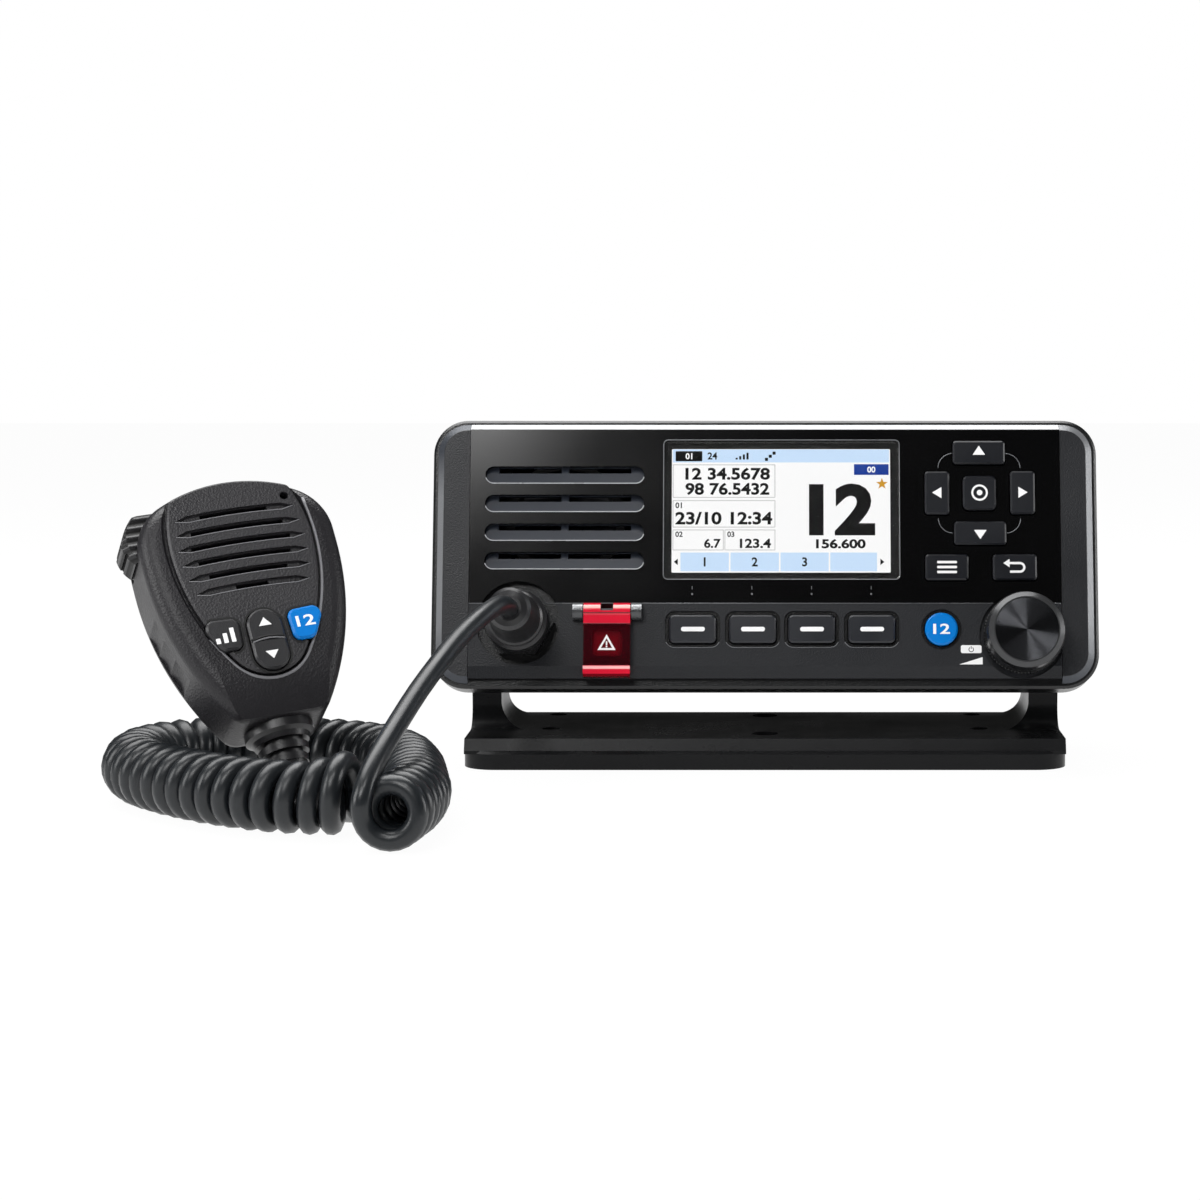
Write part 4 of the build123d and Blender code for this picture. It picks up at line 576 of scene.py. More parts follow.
# %% [markdown]
# The volume knob is black with a lighter turned edge. Its face is spun metal: turning
# leaves fine rings, each too small to see, which together pull a lamp's highlight into a
# bow tie. The shader's Anisotropic input does that too, but it needs tangents, and a bump
# made of rings around the knob's axis works on any mesh.

# %% Finish of the knob
KNOB_X = 77.3
KNOB_Z = 15.8
RING_RADIANS_PER_MM = 42.0
KNOB = finish("knob_black", (0.0075, 0.0078, 0.0085), 0.27, grains=3000, depth=0.004)
knob_edge = within(KNOB, RADIO_FRAME, X=(64, 90), Y=(-15.2, -13.45, 0.15))
repaint(KNOB, knob_edge, (0.055, 0.056, 0.058), 0.27, 0.5)

SPUN = finish("spun_metal", (0.030, 0.031, 0.034), 0.13, grains=3000, depth=0.0085, Metallic=0.9)
place = SPUN.group(RADIO_FRAME).outputs
across = SPUN.math("SUBTRACT", place["X"], KNOB_X)
upward = SPUN.math("SUBTRACT", place["Z"], KNOB_Z)
square = SPUN.math("ADD", SPUN.math("MULTIPLY", across, across), SPUN.math("MULTIPLY", upward, upward))
radius = SPUN.math("SQRT", square)
rings = SPUN.math("SINE", SPUN.math("MULTIPLY", radius, RING_RADIANS_PER_MM))
SPUN.join(rings, SPUN.bump.inputs["Height"])
print("rings", round(RING_RADIANS_PER_MM / (2 * math.pi), 1), "per mm")

# %% [markdown]
# The distress cover is moulded in clear red plastic. Its hinge barrel and its lip are
# thick and red, with pale painted highlights and dark lines of painted shade across them,
# and the foot of the lip is painted dark as shade. Its thin middle is painted dark red for
# the shaded well behind it, and is part-clear, so that the well and the key show through.
# Glass would need many light paths to look so, and a part-clear Alpha in the middle band
# does it with few.

# %% Finishes of the distress key and its cover
RED = finish("red_moulding", (0.60, 0.010, 0.032), 0.1, grains=2000, depth=0.002, spread=0.04)
# Painted light on the cover: the pale bands are painted highlights on the lip and the barrel, and the dark
# bands are painted shade.
for low, high, soft, color in (
        (2.0, 3.8, 0.2, (0.15, 0.001, 0.006)), (5.0, 6.2, 0.3, (1.0, 0.50, 0.50)),
        (18.6, 19.1, 0.1, (0.60, 0.20, 0.22)), (21.9, 22.3, 0.1, (0.10, 0.0, 0.004)),
        (23.3, 24.7, 0.4, (1.0, 0.52, 0.48))):
    repaint(RED, within(RED, RADIO_FRAME, Z=(low, high, soft)), color)
# Painted shade: the thin middle is darkened for the shaded well behind it, and is also part-clear.
thin_middle = within(RED, RADIO_FRAME, Z=(6.1, 19.1, 0.25))
repaint(RED, thin_middle, (0.045, 0.0, 0.003))
see_through = RED.math("MULTIPLY", thin_middle, 0.42)
RED.join(RED.math("SUBTRACT", 1.0, see_through), RED.shader.inputs["Alpha"])

RED_KEY = finish("red_key", (0.10, 0.002, 0.004), 0.35, grains=2000, depth=0.004, Emission_Strength=0.42)
# Painted light: the key gets a soft red glow of its own, brightest in its middle.
glow = within(RED_KEY, RADIO_FRAME, X=(COVER_X - 5, COVER_X + 5, 2.2), Z=(8.6, 17.4, 2.2))
RED_KEY.join(RED_KEY.mix(glow, (0.0, 0.0, 0.0), (1.0, 0.012, 0.03)), RED_KEY.shader.inputs["Emission Color"])
print("cover", RED.material.name, "key", RED_KEY.material.name)

# %% [markdown]
# Every solid of the working model gets its finish here. Dragging materials onto 55
# objects would do the same, but a list by finish shows at a glance what is made of what.
# The material goes on the object's slot, so the mesh itself is left alone.

# %% Dress the solids
MADE_OF = (
    (CHARCOAL, "front_housing"), (GLOSS, "gloss_panel display_module"), (FASCIA, "lower_fascia"),
    (GRILLE, "speaker_grille"), (SOFT_KEY, "soft_key_1 soft_key_2 soft_key_3 soft_key_4"),
    (KEY, "up_key down_key left_key right_key enter_key menu_key clear_key"), (BLUE, "channel_key"),
    (RED, "distress_cover"), (RED_KEY, "distress_key"), (SPUN, "dial_cap"),
    (KNOB, "dial_knob encoder_body encoder_plunger gland_nut thumb_knob_left thumb_knob_right"),
    (BRACKET_SATIN, "mounting_bracket"), (ALLOY, "rear_chassis"), (NICKEL, "antenna_socket"),
    (STEEL, "case_screws mic_screws encoder_shaft mic_capsule"),
    (DARK_STEEL, "speaker_driver distress_hinge_pin"), (BOARD, "front_board main_board mic_board"),
    (SEAL, "speaker_gasket front_seal keypad_mat mic_keypad_mat tilt_washers mic_speaker"),
    (RUBBER, "cable_inlets cord_boot mic_boot"), (MIC_CASE, "mic_front_case mic_rear_case mic_hanger_stud"),
    (MIC_PLATE, "mic_front_plate"), (MIC_KEY, "mic_power_key mic_rocker"), (MIC_BLUE, "mic_channel_key"),
    (TALK_KEY, "ptt_key"),
)


def dress_node(name, look):
    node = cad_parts[name]
    if not node.material_slots:
        node.data.materials.append(look.material)
    for slot in node.material_slots:
        slot.link = "OBJECT"
        slot.material = look.material


dressed = 0
for look, names in MADE_OF:
    for name in names.split():
        dress_node(name, look)
        dressed += 1
for cord in (curly_cord, mic_cord):
    cord.data.materials.append(CORD.material)
print("dressed", dressed, "nodes")

# %% [markdown]
# Everything printed or inlaid is a thin plate that stands a few hundredths of a
# millimetre proud, because ink in a texture would need an image and a map. A plate starts
# as an outline of x and z points in its leaning frame. Round stretches are arcs, so that
# an outline needs only its centres and radii.

# %% Outlines
def arc_points(x, z, radius, start, stop, steps=8):
    """Points along an arc; the angles are in degrees, from +x towards +z."""
    angles = [math.radians(start + (stop - start) * i / steps) for i in range(steps + 1)]
    return [(x + radius * math.cos(a), z + radius * math.sin(a)) for a in angles]


def circle(x, z, radius, corners=24):
    return arc_points(x, z, radius, 0, 360 - 360 / corners, corners - 1)


def rounded_rectangle(x, z, width, height, radius, steps=5):
    w = width / 2 - radius
    h = height / 2 - radius
    points = []
    for start, sx, sz in ((0, 1, 1), (90, -1, 1), (180, -1, -1), (270, 1, -1)):
        points += arc_points(x + sx * w, z + sz * h, radius, start, start + 90, steps)
    return points


print("outlines such as a key's have", len(rounded_rectangle(0, 0, 10, 6, 1)), "points")

# %% [markdown]
# A plate is a disc whose rim is pulled to the outline and then extruded, as by hand in
# Edit Mode. A closed band is two rings, bridged and then extruded. Shapes that lie at
# about one depth are gathered in a layer, and a layer becomes one piece.

# %% Plates and bands
class Layer:
    """Thin shapes in one leaning frame, with their faces at one y, in millimetres."""

    def __init__(self, place, y, depth=0.03):
        self.place = place
        self.y = y
        self.depth = depth
        self.shapes = []


def new_circle(corners, fill):
    bpy.ops.mesh.primitive_circle_add(vertices=corners, radius=1, fill_type=fill, calc_uvs=False)


def pull_rim(shape, first, outline, y):
    """Put a shape's corners, from the first one on, on the points of an outline."""
    for i, (x, z) in enumerate(outline):
        shape.data.vertices[first + i].co = (x, y, z)


def thicken(layer, shape):
    """Extrude a flat shape straight back, and carry it into the scene."""
    bpy.ops.object.mode_set(mode="EDIT")
    bpy.ops.mesh.select_all(action="SELECT")
    bpy.ops.mesh.extrude_region_move(TRANSFORM_OT_translate={"value": (0, layer.depth, 0)})
    bpy.ops.mesh.select_all(action="SELECT")
    bpy.ops.mesh.normals_make_consistent(inside=False)
    bpy.ops.object.mode_set(mode="OBJECT")
    shape.data.transform(layer.place)
    layer.shapes.append(shape)


def add_plate(layer, outline):
    bpy.ops.object.select_all(action="DESELECT")
    new_circle(len(outline), "NGON")
    plate = bpy.context.active_object
    pull_rim(plate, 0, outline, layer.y)
    thicken(layer, plate)


def add_loop(layer, outer, inner):
    """A closed band between two outlines."""
    bpy.ops.object.select_all(action="DESELECT")
    new_circle(len(outer), "NOTHING")
    loop = bpy.context.active_object
    pull_rim(loop, 0, outer, layer.y)
    bpy.ops.object.mode_set(mode="EDIT")
    bpy.ops.mesh.select_all(action="DESELECT")
    new_circle(len(inner), "NOTHING")
    bpy.ops.object.mode_set(mode="OBJECT")
    pull_rim(loop, len(outer), inner, layer.y)
    bpy.ops.object.mode_set(mode="EDIT")
    bpy.ops.mesh.select_all(action="SELECT")
    bpy.ops.mesh.bridge_edge_loops()
    thicken(layer, loop)


# %% [markdown]
# A printed line is a plate as well, drawn at an even distance to both sides of its
# points. A bead is a thin round line laid along an edge, such as a slot's, and mostly
# carries a painted highlight: a curve with a bevel makes it, where a bevel on the slot
# itself would change the solid. Figures are text objects, made a mesh and scaled to a set
# height and width.

# %% Strokes, beads and figures
def add_stroke(layer, points, width):
    """A line of even width through the points, with flat ends."""
    left = []
    right = []
    for i, (px, pz) in enumerate(points):
        ax, az = points[max(i - 1, 0)]
        bx, bz = points[min(i + 1, len(points) - 1)]
        length = math.hypot(bx - ax, bz - az)
        nx = -(bz - az) / length * width / 2
        nz = (bx - ax) / length * width / 2
        left.append((px + nx, pz + nz))
        right.append((px - nx, pz - nz))
    add_plate(layer, left + right[::-1])


def add_bead(layer, points, radius, closed=False):
    """A round bead laid along the points, with its middle in the layer's face."""
    data = bpy.data.curves.new("bead", "CURVE")
    data.dimensions = "3D"
    data.bevel_depth = radius
    data.bevel_resolution = 1
    data.use_fill_caps = not closed
    spline = data.splines.new("POLY")
    spline.points.add(len(points) - 1)
    for target, (x, z) in zip(spline.points, points):
        target.co = (x, layer.y, z, 1)
    spline.use_cyclic_u = closed
    bead = bpy.data.objects.new("bead", data)
    bpy.context.scene.collection.objects.link(bead)
    select_only(bead)
    bpy.ops.object.convert(target="MESH")
    bead.data.transform(layer.place)
    layer.shapes.append(bead)


def add_figures(layer, text, x, z, height, width=None, bold=0.0, align="LEFT"):
    """Plain figures with their foot at z; bold is how far their outlines are grown."""
    bpy.ops.object.select_all(action="DESELECT")
    bpy.ops.object.text_add()
    piece = bpy.context.active_object
    piece.data.body = text
    piece.data.offset = bold
    piece.data.extrude = 0.5
    piece.data.resolution_u = 4
    bpy.ops.object.convert(target="MESH")
    mesh = piece.data
    low = [min(v.co[i] for v in mesh.vertices) for i in range(2)]
    high = [max(v.co[i] for v in mesh.vertices) for i in range(2)]
    scale_z = height / (high[1] - low[1])
    scale_x = width / (high[0] - low[0]) if width else scale_z
    shift = {"LEFT": 0.0, "CENTER": 0.5, "RIGHT": 1.0}[align] * (high[0] - low[0])
    mesh.transform(layer.place @ Matrix.Translation((x, layer.y + layer.depth / 2, z))
                   @ Matrix.Rotation(math.radians(90), 4, "X")
                   @ Matrix.Diagonal((scale_x, scale_z, layer.depth, 1))
                   @ Matrix.Translation((-low[0] - shift, -low[1], 0)))
    layer.shapes.append(piece)


# %% [markdown]
# Gathered shapes are joined into one object, as Ctrl J does. Doubled points are merged
# and the faces turned outwards, so that the mesh is clean wherever it is used. The piece
# then rides on the body that carries it, and takes the finish it is given.

# %% Joining a piece
def make_piece(name, shapes, look, body, smooth=False):
    """Join the shapes into one object that rides on a body."""
    select_only(shapes[0])
    for shape in shapes:
        shape.select_set(True)
    if len(shapes) > 1:
        bpy.ops.object.join()
    piece = shapes[0]
    piece.name = name
    piece.data.name = name
    bpy.ops.object.mode_set(mode="EDIT")
    bpy.ops.mesh.select_all(action="SELECT")
    bpy.ops.mesh.remove_doubles(threshold=1e-6)
    bpy.ops.mesh.normals_make_consistent(inside=False)
    bpy.ops.object.mode_set(mode="OBJECT")
    piece.data.materials.clear()
    piece.data.materials.append(look.material)
    if smooth:
        bpy.ops.object.shade_smooth()
    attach(piece, body)
    return piece


# %% [markdown]
# The display is built in layers, as the real one is. In front is a clear window with a
# bevelled edge, which is a thick plate with its front face inset and raised. It is real
# glass here, with full Transmission, so that it bends light at its bevel. Behind it lie a
# black printed border and, around it, a thin bead that is a painted highlight on the rim.

# %% Display window
DISPLAY_X = 5.0
DISPLAY_Z = 54.1
OPENING = (4.85, 54.0, 66.1, 37.9, 0.3)
WINDOW_BEVEL = 0.4


def inset_faces(shape, test, thickness, depth):
    """Inset the faces that pass a test, each by itself, and raise them by the depth."""
    bpy.ops.object.mode_set(mode="EDIT")
    bpy.ops.mesh.select_mode(type="FACE")
    bpy.ops.mesh.select_all(action="DESELECT")
    bpy.ops.object.mode_set(mode="OBJECT")
    for face in shape.data.polygons:
        face.select = test(face)
    bpy.ops.object.mode_set(mode="EDIT")
    bpy.ops.mesh.inset(thickness=thickness, depth=depth, use_individual=True)
    bpy.ops.mesh.select_mode(type="VERT")
    bpy.ops.object.mode_set(mode="OBJECT")


def clear_glass():
    glass = new_material("window_clear")
    smear = glass.new("TexNoise", Vector=glass.new("TexCoord").outputs["Object"], Scale=60)
    level = glass.new("MapRange", Value=smear.outputs["Fac"], To_Min=0.0, To_Max=0.03)
    shader = glass.new("BsdfPrincipled", Base_Color=(1, 1, 1), Transmission_Weight=1.0, IOR=1.45,
                       Roughness=level.outputs["Result"])
    glass.new("OutputMaterial", Surface=shader.outputs["BSDF"])
    return glass


pane = Layer(Matrix(), 0.75, 1.55)
add_plate(pane, rounded_rectangle(DISPLAY_X, DISPLAY_Z, 71.1, 42.5, 1.3))
inset_faces(pane.shapes[0], lambda face: face.normal.y < -0.9, WINDOW_BEVEL, WINDOW_BEVEL)
pane.shapes[0].data.transform(RADIO)
window = make_piece("display_window", pane.shapes, clear_glass(), "radio")
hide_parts("display_lens")

border = Layer(RADIO, 2.34, 0.08)
add_loop(border, rounded_rectangle(DISPLAY_X, DISPLAY_Z, 71.0, 42.4, 1.2),
         rounded_rectangle(*OPENING))
BORDER = finish("border_black", (0.002, 0.002, 0.002), 0.5, grains=2000, depth=0.002)
make_piece("display_border", border.shapes, BORDER, "radio")

# A dim grey for painted highlights on edges, and for the ticks printed on the panel.
DIM_HIGHLIGHT_AND_INK = finish("dim_highlight_and_ink", (0.16, 0.165, 0.175), 0.3, grains=3000, depth=0.002, Metallic=0.4)
rim = Layer(RADIO, 0.12)
# Painted highlight: a thin light bead around the display window.
add_bead(rim, rounded_rectangle(DISPLAY_X, DISPLAY_Z, 71.3, 42.7, 1.4), 0.17, closed=True)
make_piece("display_rim_highlight", rim.shapes, DIM_HIGHLIGHT_AND_INK, "radio", smooth=True)
print("window", len(window.data.polygons), "faces")

# %% [markdown]
# The lit screen is a white plate with pale blue bars and grey boxes on it. An image would
# be the usual way to fill a screen, but shapes stay sharp close up. They glow by
# themselves, because a screen has its light behind it. Each layer lies a few hundredths
# of a millimetre in front of the one below it, and all of them share a frame that is
# raised a little, which centres the picture in the window.

# %% Screen
SCREEN_RISE = 0.35
SCREEN = RADIO @ Matrix.Translation((0, 0, SCREEN_RISE))
BARS_Y = 2.50
INK_Y = 2.46
LIGHT_Y = 2.42


def printed(name, color, roughness=0.5):
    """Printing ink with a faint speckle."""
    return finish(name, color, roughness, grains=2500, depth=0.002, spread=0.06, mottle=0.04)


def lit(name, color):
    """A shape of a lit screen: black in itself, with light of its own."""
    light = printed(name, color)
    base = light.shader.inputs["Base Color"]
    light.tree.links.remove(base.links[0])
    light.join((0.0, 0.0, 0.0), base)
    light.join(color, light.shader.inputs["Emission Color"])
    light.join(1.0, light.shader.inputs["Emission Strength"])
    return light


def screen_piece(name, layer, look):
    make_piece(name, layer.shapes, look, "radio")


LIT_WHITE = lit("lit_white", (1.0, 1.0, 1.0))
base = Layer(SCREEN, 2.54, 0.04)
x, z, width, height, radius = OPENING
add_plate(base, rounded_rectangle(x, z - SCREEN_RISE, width, height, radius))
screen_piece("screen_light", base, LIT_WHITE)

sky = Layer(SCREEN, BARS_Y)
add_plate(sky, rounded_rectangle(4.85, 70.5, 65.5, 4.0, 0.1))
for left, right in ((-25.5, -10.9), (-10.4, 4.2), (4.7, 19.2), (19.7, 33.8)):
    add_plate(sky, rounded_rectangle((left + right) / 2, 38.0, right - left, 5.7, 0.1))
screen_piece("screen_bars", sky, lit("lit_sky", (0.60, 0.78, 1.0)))

boxes = Layer(SCREEN, BARS_Y)
BOX_LINE = 0.28
for x, z, width, height in ((-12.4, 62.75, 31.1, 10.3), (-12.4, 52.7, 31.1, 8.4),
                            (-20.2, 44.7, 15.5, 6.4), (-4.55, 44.7, 15.4, 6.4)):
    add_loop(boxes, rounded_rectangle(x, z, width, height, 0.2),
             rounded_rectangle(x, z, width - 2 * BOX_LINE, height - 2 * BOX_LINE, 0.02))
screen_piece("screen_boxes", boxes, lit("lit_grey", (0.62, 0.62, 0.62)))
print("screen layers", len(base.shapes) + len(sky.shapes) + len(boxes.shapes), "shapes")

# %% [markdown]
# The screen shows a place, a date and time, two small readings, a channel and its
# frequency, all of them plain made-up numbers. They could be typed one by one in the
# viewport, but a table is quicker to change. A row is one string: its text, the x
# and the foot's z, the height, the width if it is set, how bold it is, and whether x
# is its left, its middle or its right.

# %% Figures on the screen
FIGURES = (
    ("24", -17.4, 69.4, 2.2, None, 0.025, "LEFT"), ("12 34.5678", -24.1, 63.1, 3.8, 25.6, 0.03, "LEFT"),
    ("98 76.5432", -24.1, 58.45, 3.8, 25.4, 0.03, "LEFT"), ("01", -27.1, 54.4, 1.8, None, 0.025, "LEFT"),
    ("23/10 12:34", -27.1, 49.4, 3.9, 29.3, 0.03, "LEFT"), ("02", -27.1, 45.6, 1.7, None, 0.025, "LEFT"),
    ("6.7", -13.4, 42.2, 2.9, 5.0, 0.03, "RIGHT"), ("03", -11.4, 45.6, 1.7, None, 0.025, "LEFT"),
    ("123.4", 1.8, 42.2, 2.9, 9.4, 0.03, "RIGHT"), ("12", 13.3, 46.1, 15.9, 20.0, 0.045, "LEFT"),
    ("156.600", 22.9, 42.1, 2.9, 15.0, 0.035, "CENTER"), ("1", -18.2, 36.6, 2.8, None, 0.025, "CENTER"),
    ("2", -3.1, 36.6, 2.8, None, 0.025, "CENTER"), ("3", 11.95, 36.6, 2.8, None, 0.025, "CENTER"),
)
SCREEN_INK = printed("screen_black", (0.0015, 0.0015, 0.0015), roughness=0.8)
ink = Layer(SCREEN, INK_Y)
add_plate(ink, rounded_rectangle(-23.05, 70.4, 8.1, 3.1, 0.3))
for step in range(1, 5):
    add_plate(ink, rounded_rectangle(-9.7 + 1.1 * step, 69.4 + 0.26 * step, 0.65, 0.52 * step, 0.05))
for dx, dz in ((0, 0), (1.15, 0.95), (-1.15, -0.95)):
    add_plate(ink, rounded_rectangle(1.6 + dx, 70.4 + dz, 0.95, 0.95, 0.15))
for text, x, z, height, width, bold, align in FIGURES:
    add_figures(ink, text, x, z, height, width, bold, align)
add_plate(ink, [(-27.5, 38.0), (-26.3, 39.0), (-26.3, 37.0)])
add_plate(ink, [(36.0, 38.0), (34.8, 37.0), (34.8, 39.0)])
screen_piece("screen_figures", ink, SCREEN_INK)

label = Layer(SCREEN, INK_Y)
add_plate(label, rounded_rectangle(32.2, 66.3, 10.5, 3.3, 0.15))
screen_piece("screen_label", label, lit("lit_navy", (0.0, 0.035, 0.30)))

# A quarter turn stands the star on two of its rays.
star = Layer(SCREEN, INK_Y)
tips = circle(0, 0, 1.85, 10)
notches = circle(0, 0, 0.75, 10)
points = [(tips, notches)[i % 2][i] for i in range(10)]
add_plate(star, [(35.4 - z, 61.9 + x) for x, z in points])
screen_piece("screen_star", star, lit("lit_gold", (0.62, 0.30, 0.005)))

light = Layer(SCREEN, LIGHT_Y)
add_figures(light, "01", -23.05, 69.45, 1.9, bold=0.03, align="CENTER")
add_figures(light, "00", 32.2, 65.35, 1.9, bold=0.03, align="CENTER")
screen_piece("screen_light_figures", light, LIT_WHITE)
print("figures", len(FIGURES), "strings,", len(ink.shapes), "shapes in ink")

# %% [markdown]
# The keys carry plain symbols: bars on the soft keys, arrows, a ring, a menu sign, a
# return arrow and a plain number. On the real keys they are printed or laser-cut. Each
# key's mark is an object of its own, because it has to travel with its key.

# %% Marks on the keys
KEY_FACE = -1.33
SOFT_KEY_XS = (-21.7, -3.7, 14.0, 32.0)
WHITE_INK = printed("white_ink", (0.80, 0.80, 0.80), roughness=0.45)


def key_mark(key, layer):
    make_piece(key + "_mark", layer.shapes, WHITE_INK, key + "_cap")


for i, x in enumerate(SOFT_KEY_XS):
    bar = Layer(RADIO, KEY_FACE)
    add_plate(bar, rounded_rectangle(x + 0.1, 17.5, 7.1, 1.35, 0.6))
    make_piece("soft_mark_%d" % (i + 1), bar.shapes, WHITE_INK, "soft_%d_cap" % (i + 1))
for key, corners in (("up", [(62.7, 70.6), (66.5, 70.6), (64.6, 73.4)]),
                     ("down", [(62.9, 47.6), (64.8, 44.8), (66.7, 47.6)]),
                     ("left", [(50.4, 59.0), (53.2, 57.3), (53.2, 60.7)]),
                     ("right", [(79.2, 59.1), (76.4, 60.8), (76.4, 57.4)])):
    arrow = Layer(RADIO, KEY_FACE)
    add_plate(arrow, corners)
    key_mark(key, arrow)

enter = Layer(RADIO, KEY_FACE)
add_loop(enter, circle(64.7, 59.0, 2.5), circle(64.7, 59.0, 1.9))
add_plate(enter, circle(64.7, 59.0, 0.85))
key_mark("enter", enter)

menu = Layer(RADIO, KEY_FACE)
for z in (34.8, 36.3, 37.8):
    add_plate(menu, rounded_rectangle(54.7, z, 6.0, 0.75, 0.3))
key_mark("menu", menu)

back = Layer(RADIO, KEY_FACE)
add_stroke(back, [(73.0, 37.5), (76.6, 37.5)] + arc_points(76.6, 36.2, 1.3, 80, -80, 10)
           + [(76.6, 34.9), (73.6, 34.9)], 0.7)
back.y -= 0.01
add_plate(back, [(71.6, 37.5), (73.5, 38.8), (73.5, 36.2)])
key_mark("clear", back)

channel = Layer(RADIO, KEY_FACE)
add_figures(channel, "12", 52.9, 16.05, 3.1, width=5.0, bold=0.02, align="CENTER")
key_mark("channel", channel)

# %% [markdown]
# The distress cover has a plain warning triangle, which swings with it. On the panel a
# tick points at each soft key, and beside the knob stand the signs for power and for
# volume. These stay still, so each group of them is one piece on the radio's body.

# %% Marks on the cover, the panel and the fascia
PANEL_MARKS_Y = -0.03
COVER_FACE = -3.63
warning = Layer(RADIO, COVER_FACE)
add_loop(warning, [(-50.0, 10.9), (-44.6, 10.9), (COVER_X, 15.6)],
         [(-49.0, 11.5), (-45.6, 11.5), (COVER_X, 14.45)])
add_plate(warning, rounded_rectangle(COVER_X, 12.95, 0.45, 1.25, 0.15))
add_plate(warning, circle(COVER_X, 11.95, 0.27, 12))
make_piece("cover_mark", warning.shapes, WHITE_INK, "cover")

ticks = Layer(RADIO, PANEL_MARKS_Y)
for x in (-21.9, -3.95, 14.0, 31.9):
    add_plate(ticks, rounded_rectangle(x, 28.3, 0.5, 0.6, 0.1))
    add_plate(ticks, rounded_rectangle(x, 30.2, 0.18, 1.0, 0.05))
make_piece("panel_ticks", ticks.shapes, DIM_HIGHLIGHT_AND_INK, "radio")

signs = Layer(RADIO, PANEL_MARKS_Y)
add_plate(signs, rounded_rectangle(61.8, 11.6, 6.2, 2.4, 0.5))
add_plate(signs, [(58.2, 7.0), (65.2, 7.0), (65.2, 9.2)])
make_piece("power_marks", signs.shapes, WHITE_INK, "radio")

power = Layer(RADIO, PANEL_MARKS_Y - 0.03)
add_stroke(power, arc_points(61.8, 11.5, 0.7, 125, 415, 14), 0.22)
power.y -= 0.01
add_stroke(power, [(61.8, 11.7), (61.8, 12.5)], 0.22)
make_piece("power_sign_dark", power.shapes, SCREEN_INK, "radio")
print("shapes on cover, panel and fascia", len(warning.shapes + ticks.shapes + signs.shapes + power.shapes))

# %% [markdown]
# Thin bright lines are painted highlights on the edges that catch the light: the lower lip
# of each speaker slot, the wells of the soft keys, the corners around the arrow keys and
# the top edge of the fascia. The last one stops at the knob's well, so that the knob turns
# clear of it.

# %% Painted highlights on edges
# Painted highlights: light beads on the slots' lips, the soft keys' wells, the arrow field's corners and the
# fascia's top edge.
SLOT_HIGHLIGHT = finish("slot_highlight_satin", (0.42, 0.43, 0.45), 0.3, grains=3000, depth=0.002, Metallic=0.4)
SLOT_R = 2.6
SLOT_LEFT = -84.5 + SLOT_R
SLOT_RIGHT = -36.5 - SLOT_R
lips = Layer(RADIO, -0.02)
for z in (64.7, 56.0, 47.2, 38.5):
    add_bead(lips, arc_points(SLOT_LEFT, z, SLOT_R, 200, 270, 7)
             + arc_points(SLOT_RIGHT, z, SLOT_R, 270, 345, 8), 0.16)
make_piece("slot_lip_highlights", lips.shapes, SLOT_HIGHLIGHT, "radio", smooth=True)

WELL_R = 2.8
WELL_Z = 17.6 - (5.45 - WELL_R)
wells = Layer(RADIO, 0.0)
for x in SOFT_KEY_XS:
    reach = 8.25 - WELL_R
    add_bead(wells, arc_points(x - reach, WELL_Z, WELL_R, 205, 270, 6)
             + arc_points(x + reach, WELL_Z, WELL_R, 270, 335, 6), 0.12)
make_piece("well_lip_highlights", wells.shapes, DIM_HIGHLIGHT_AND_INK, "radio", smooth=True)

corners = Layer(RADIO, 0.02)
for x, z, start in ((72.6, 66.75, 0), (56.8, 66.75, 90), (56.8, 51.35, 180), (72.6, 51.35, 270)):
    add_bead(corners, arc_points(x, z, 4.5, start, start + 90, 10), 0.14)
make_piece("field_corner_highlights", corners.shapes, DIM_HIGHLIGHT_AND_INK, "radio", smooth=True)

FASCIA_TOP = 25.5
top_edge = Layer(RADIO, 0.02)
for left, right in ((-89.0, 68.6), (86.0, 89.0)):
    add_bead(top_edge, [(left, FASCIA_TOP), (right, FASCIA_TOP)], 0.11)
make_piece("fascia_edge_highlight", top_edge.shapes, DIM_HIGHLIGHT_AND_INK, "radio", smooth=True)
print("beads", len(lips.shapes + wells.shapes + corners.shapes + top_edge.shapes))

# %% [markdown]
# A fine knurl around the knob's foot gives fingers a grip. It is a cylinder with every
# second face inset and raised, and Solidify turns the open skin into a wall that hugs the
# knob. An Array of one tooth would do as well, but would leave doubled edges between.

# %% Knurl of the knob
KNURL_FACES = 144


def every_second(face):
    angle = math.degrees(math.atan2(face.center.z - KNOB_Z, face.center.x - KNOB_X))
    return round(angle / (360 / KNURL_FACES) - 0.5) % 2 == 0


bpy.ops.object.select_all(action="DESELECT")
bpy.ops.mesh.primitive_cylinder_add(vertices=KNURL_FACES, radius=11.75, depth=3.3, end_fill_type="NOTHING",
                                    location=(KNOB_X, -2.55, KNOB_Z), rotation=(math.radians(90), 0, 0),
                                    calc_uvs=False)
bpy.ops.object.transform_apply(location=True, rotation=True, scale=True)
knurl = bpy.context.active_object
inset_faces(knurl, every_second, 0.09, 0.25)
wall = knurl.modifiers.new("wall", "SOLIDIFY")
wall.thickness = 0.15
bpy.ops.object.modifier_apply(modifier="wall")
knurl.data.transform(RADIO)
make_piece("knob_knurl", [knurl], KNOB, "dial")
print("knurl", KNURL_FACES // 2, "teeth")

# %% [markdown]
# Each of the microphone's louvres has a painted highlight along its lower lip, a shallow
# curve that is flattest in the middle. A wide bead in the groove around the lower part of
# the plate is a painted highlight for its bevel, and follows the plate's own arcs. A
# modelled bevel would be truer, but the plate is a solid of the working model, and those
# stay as they are.

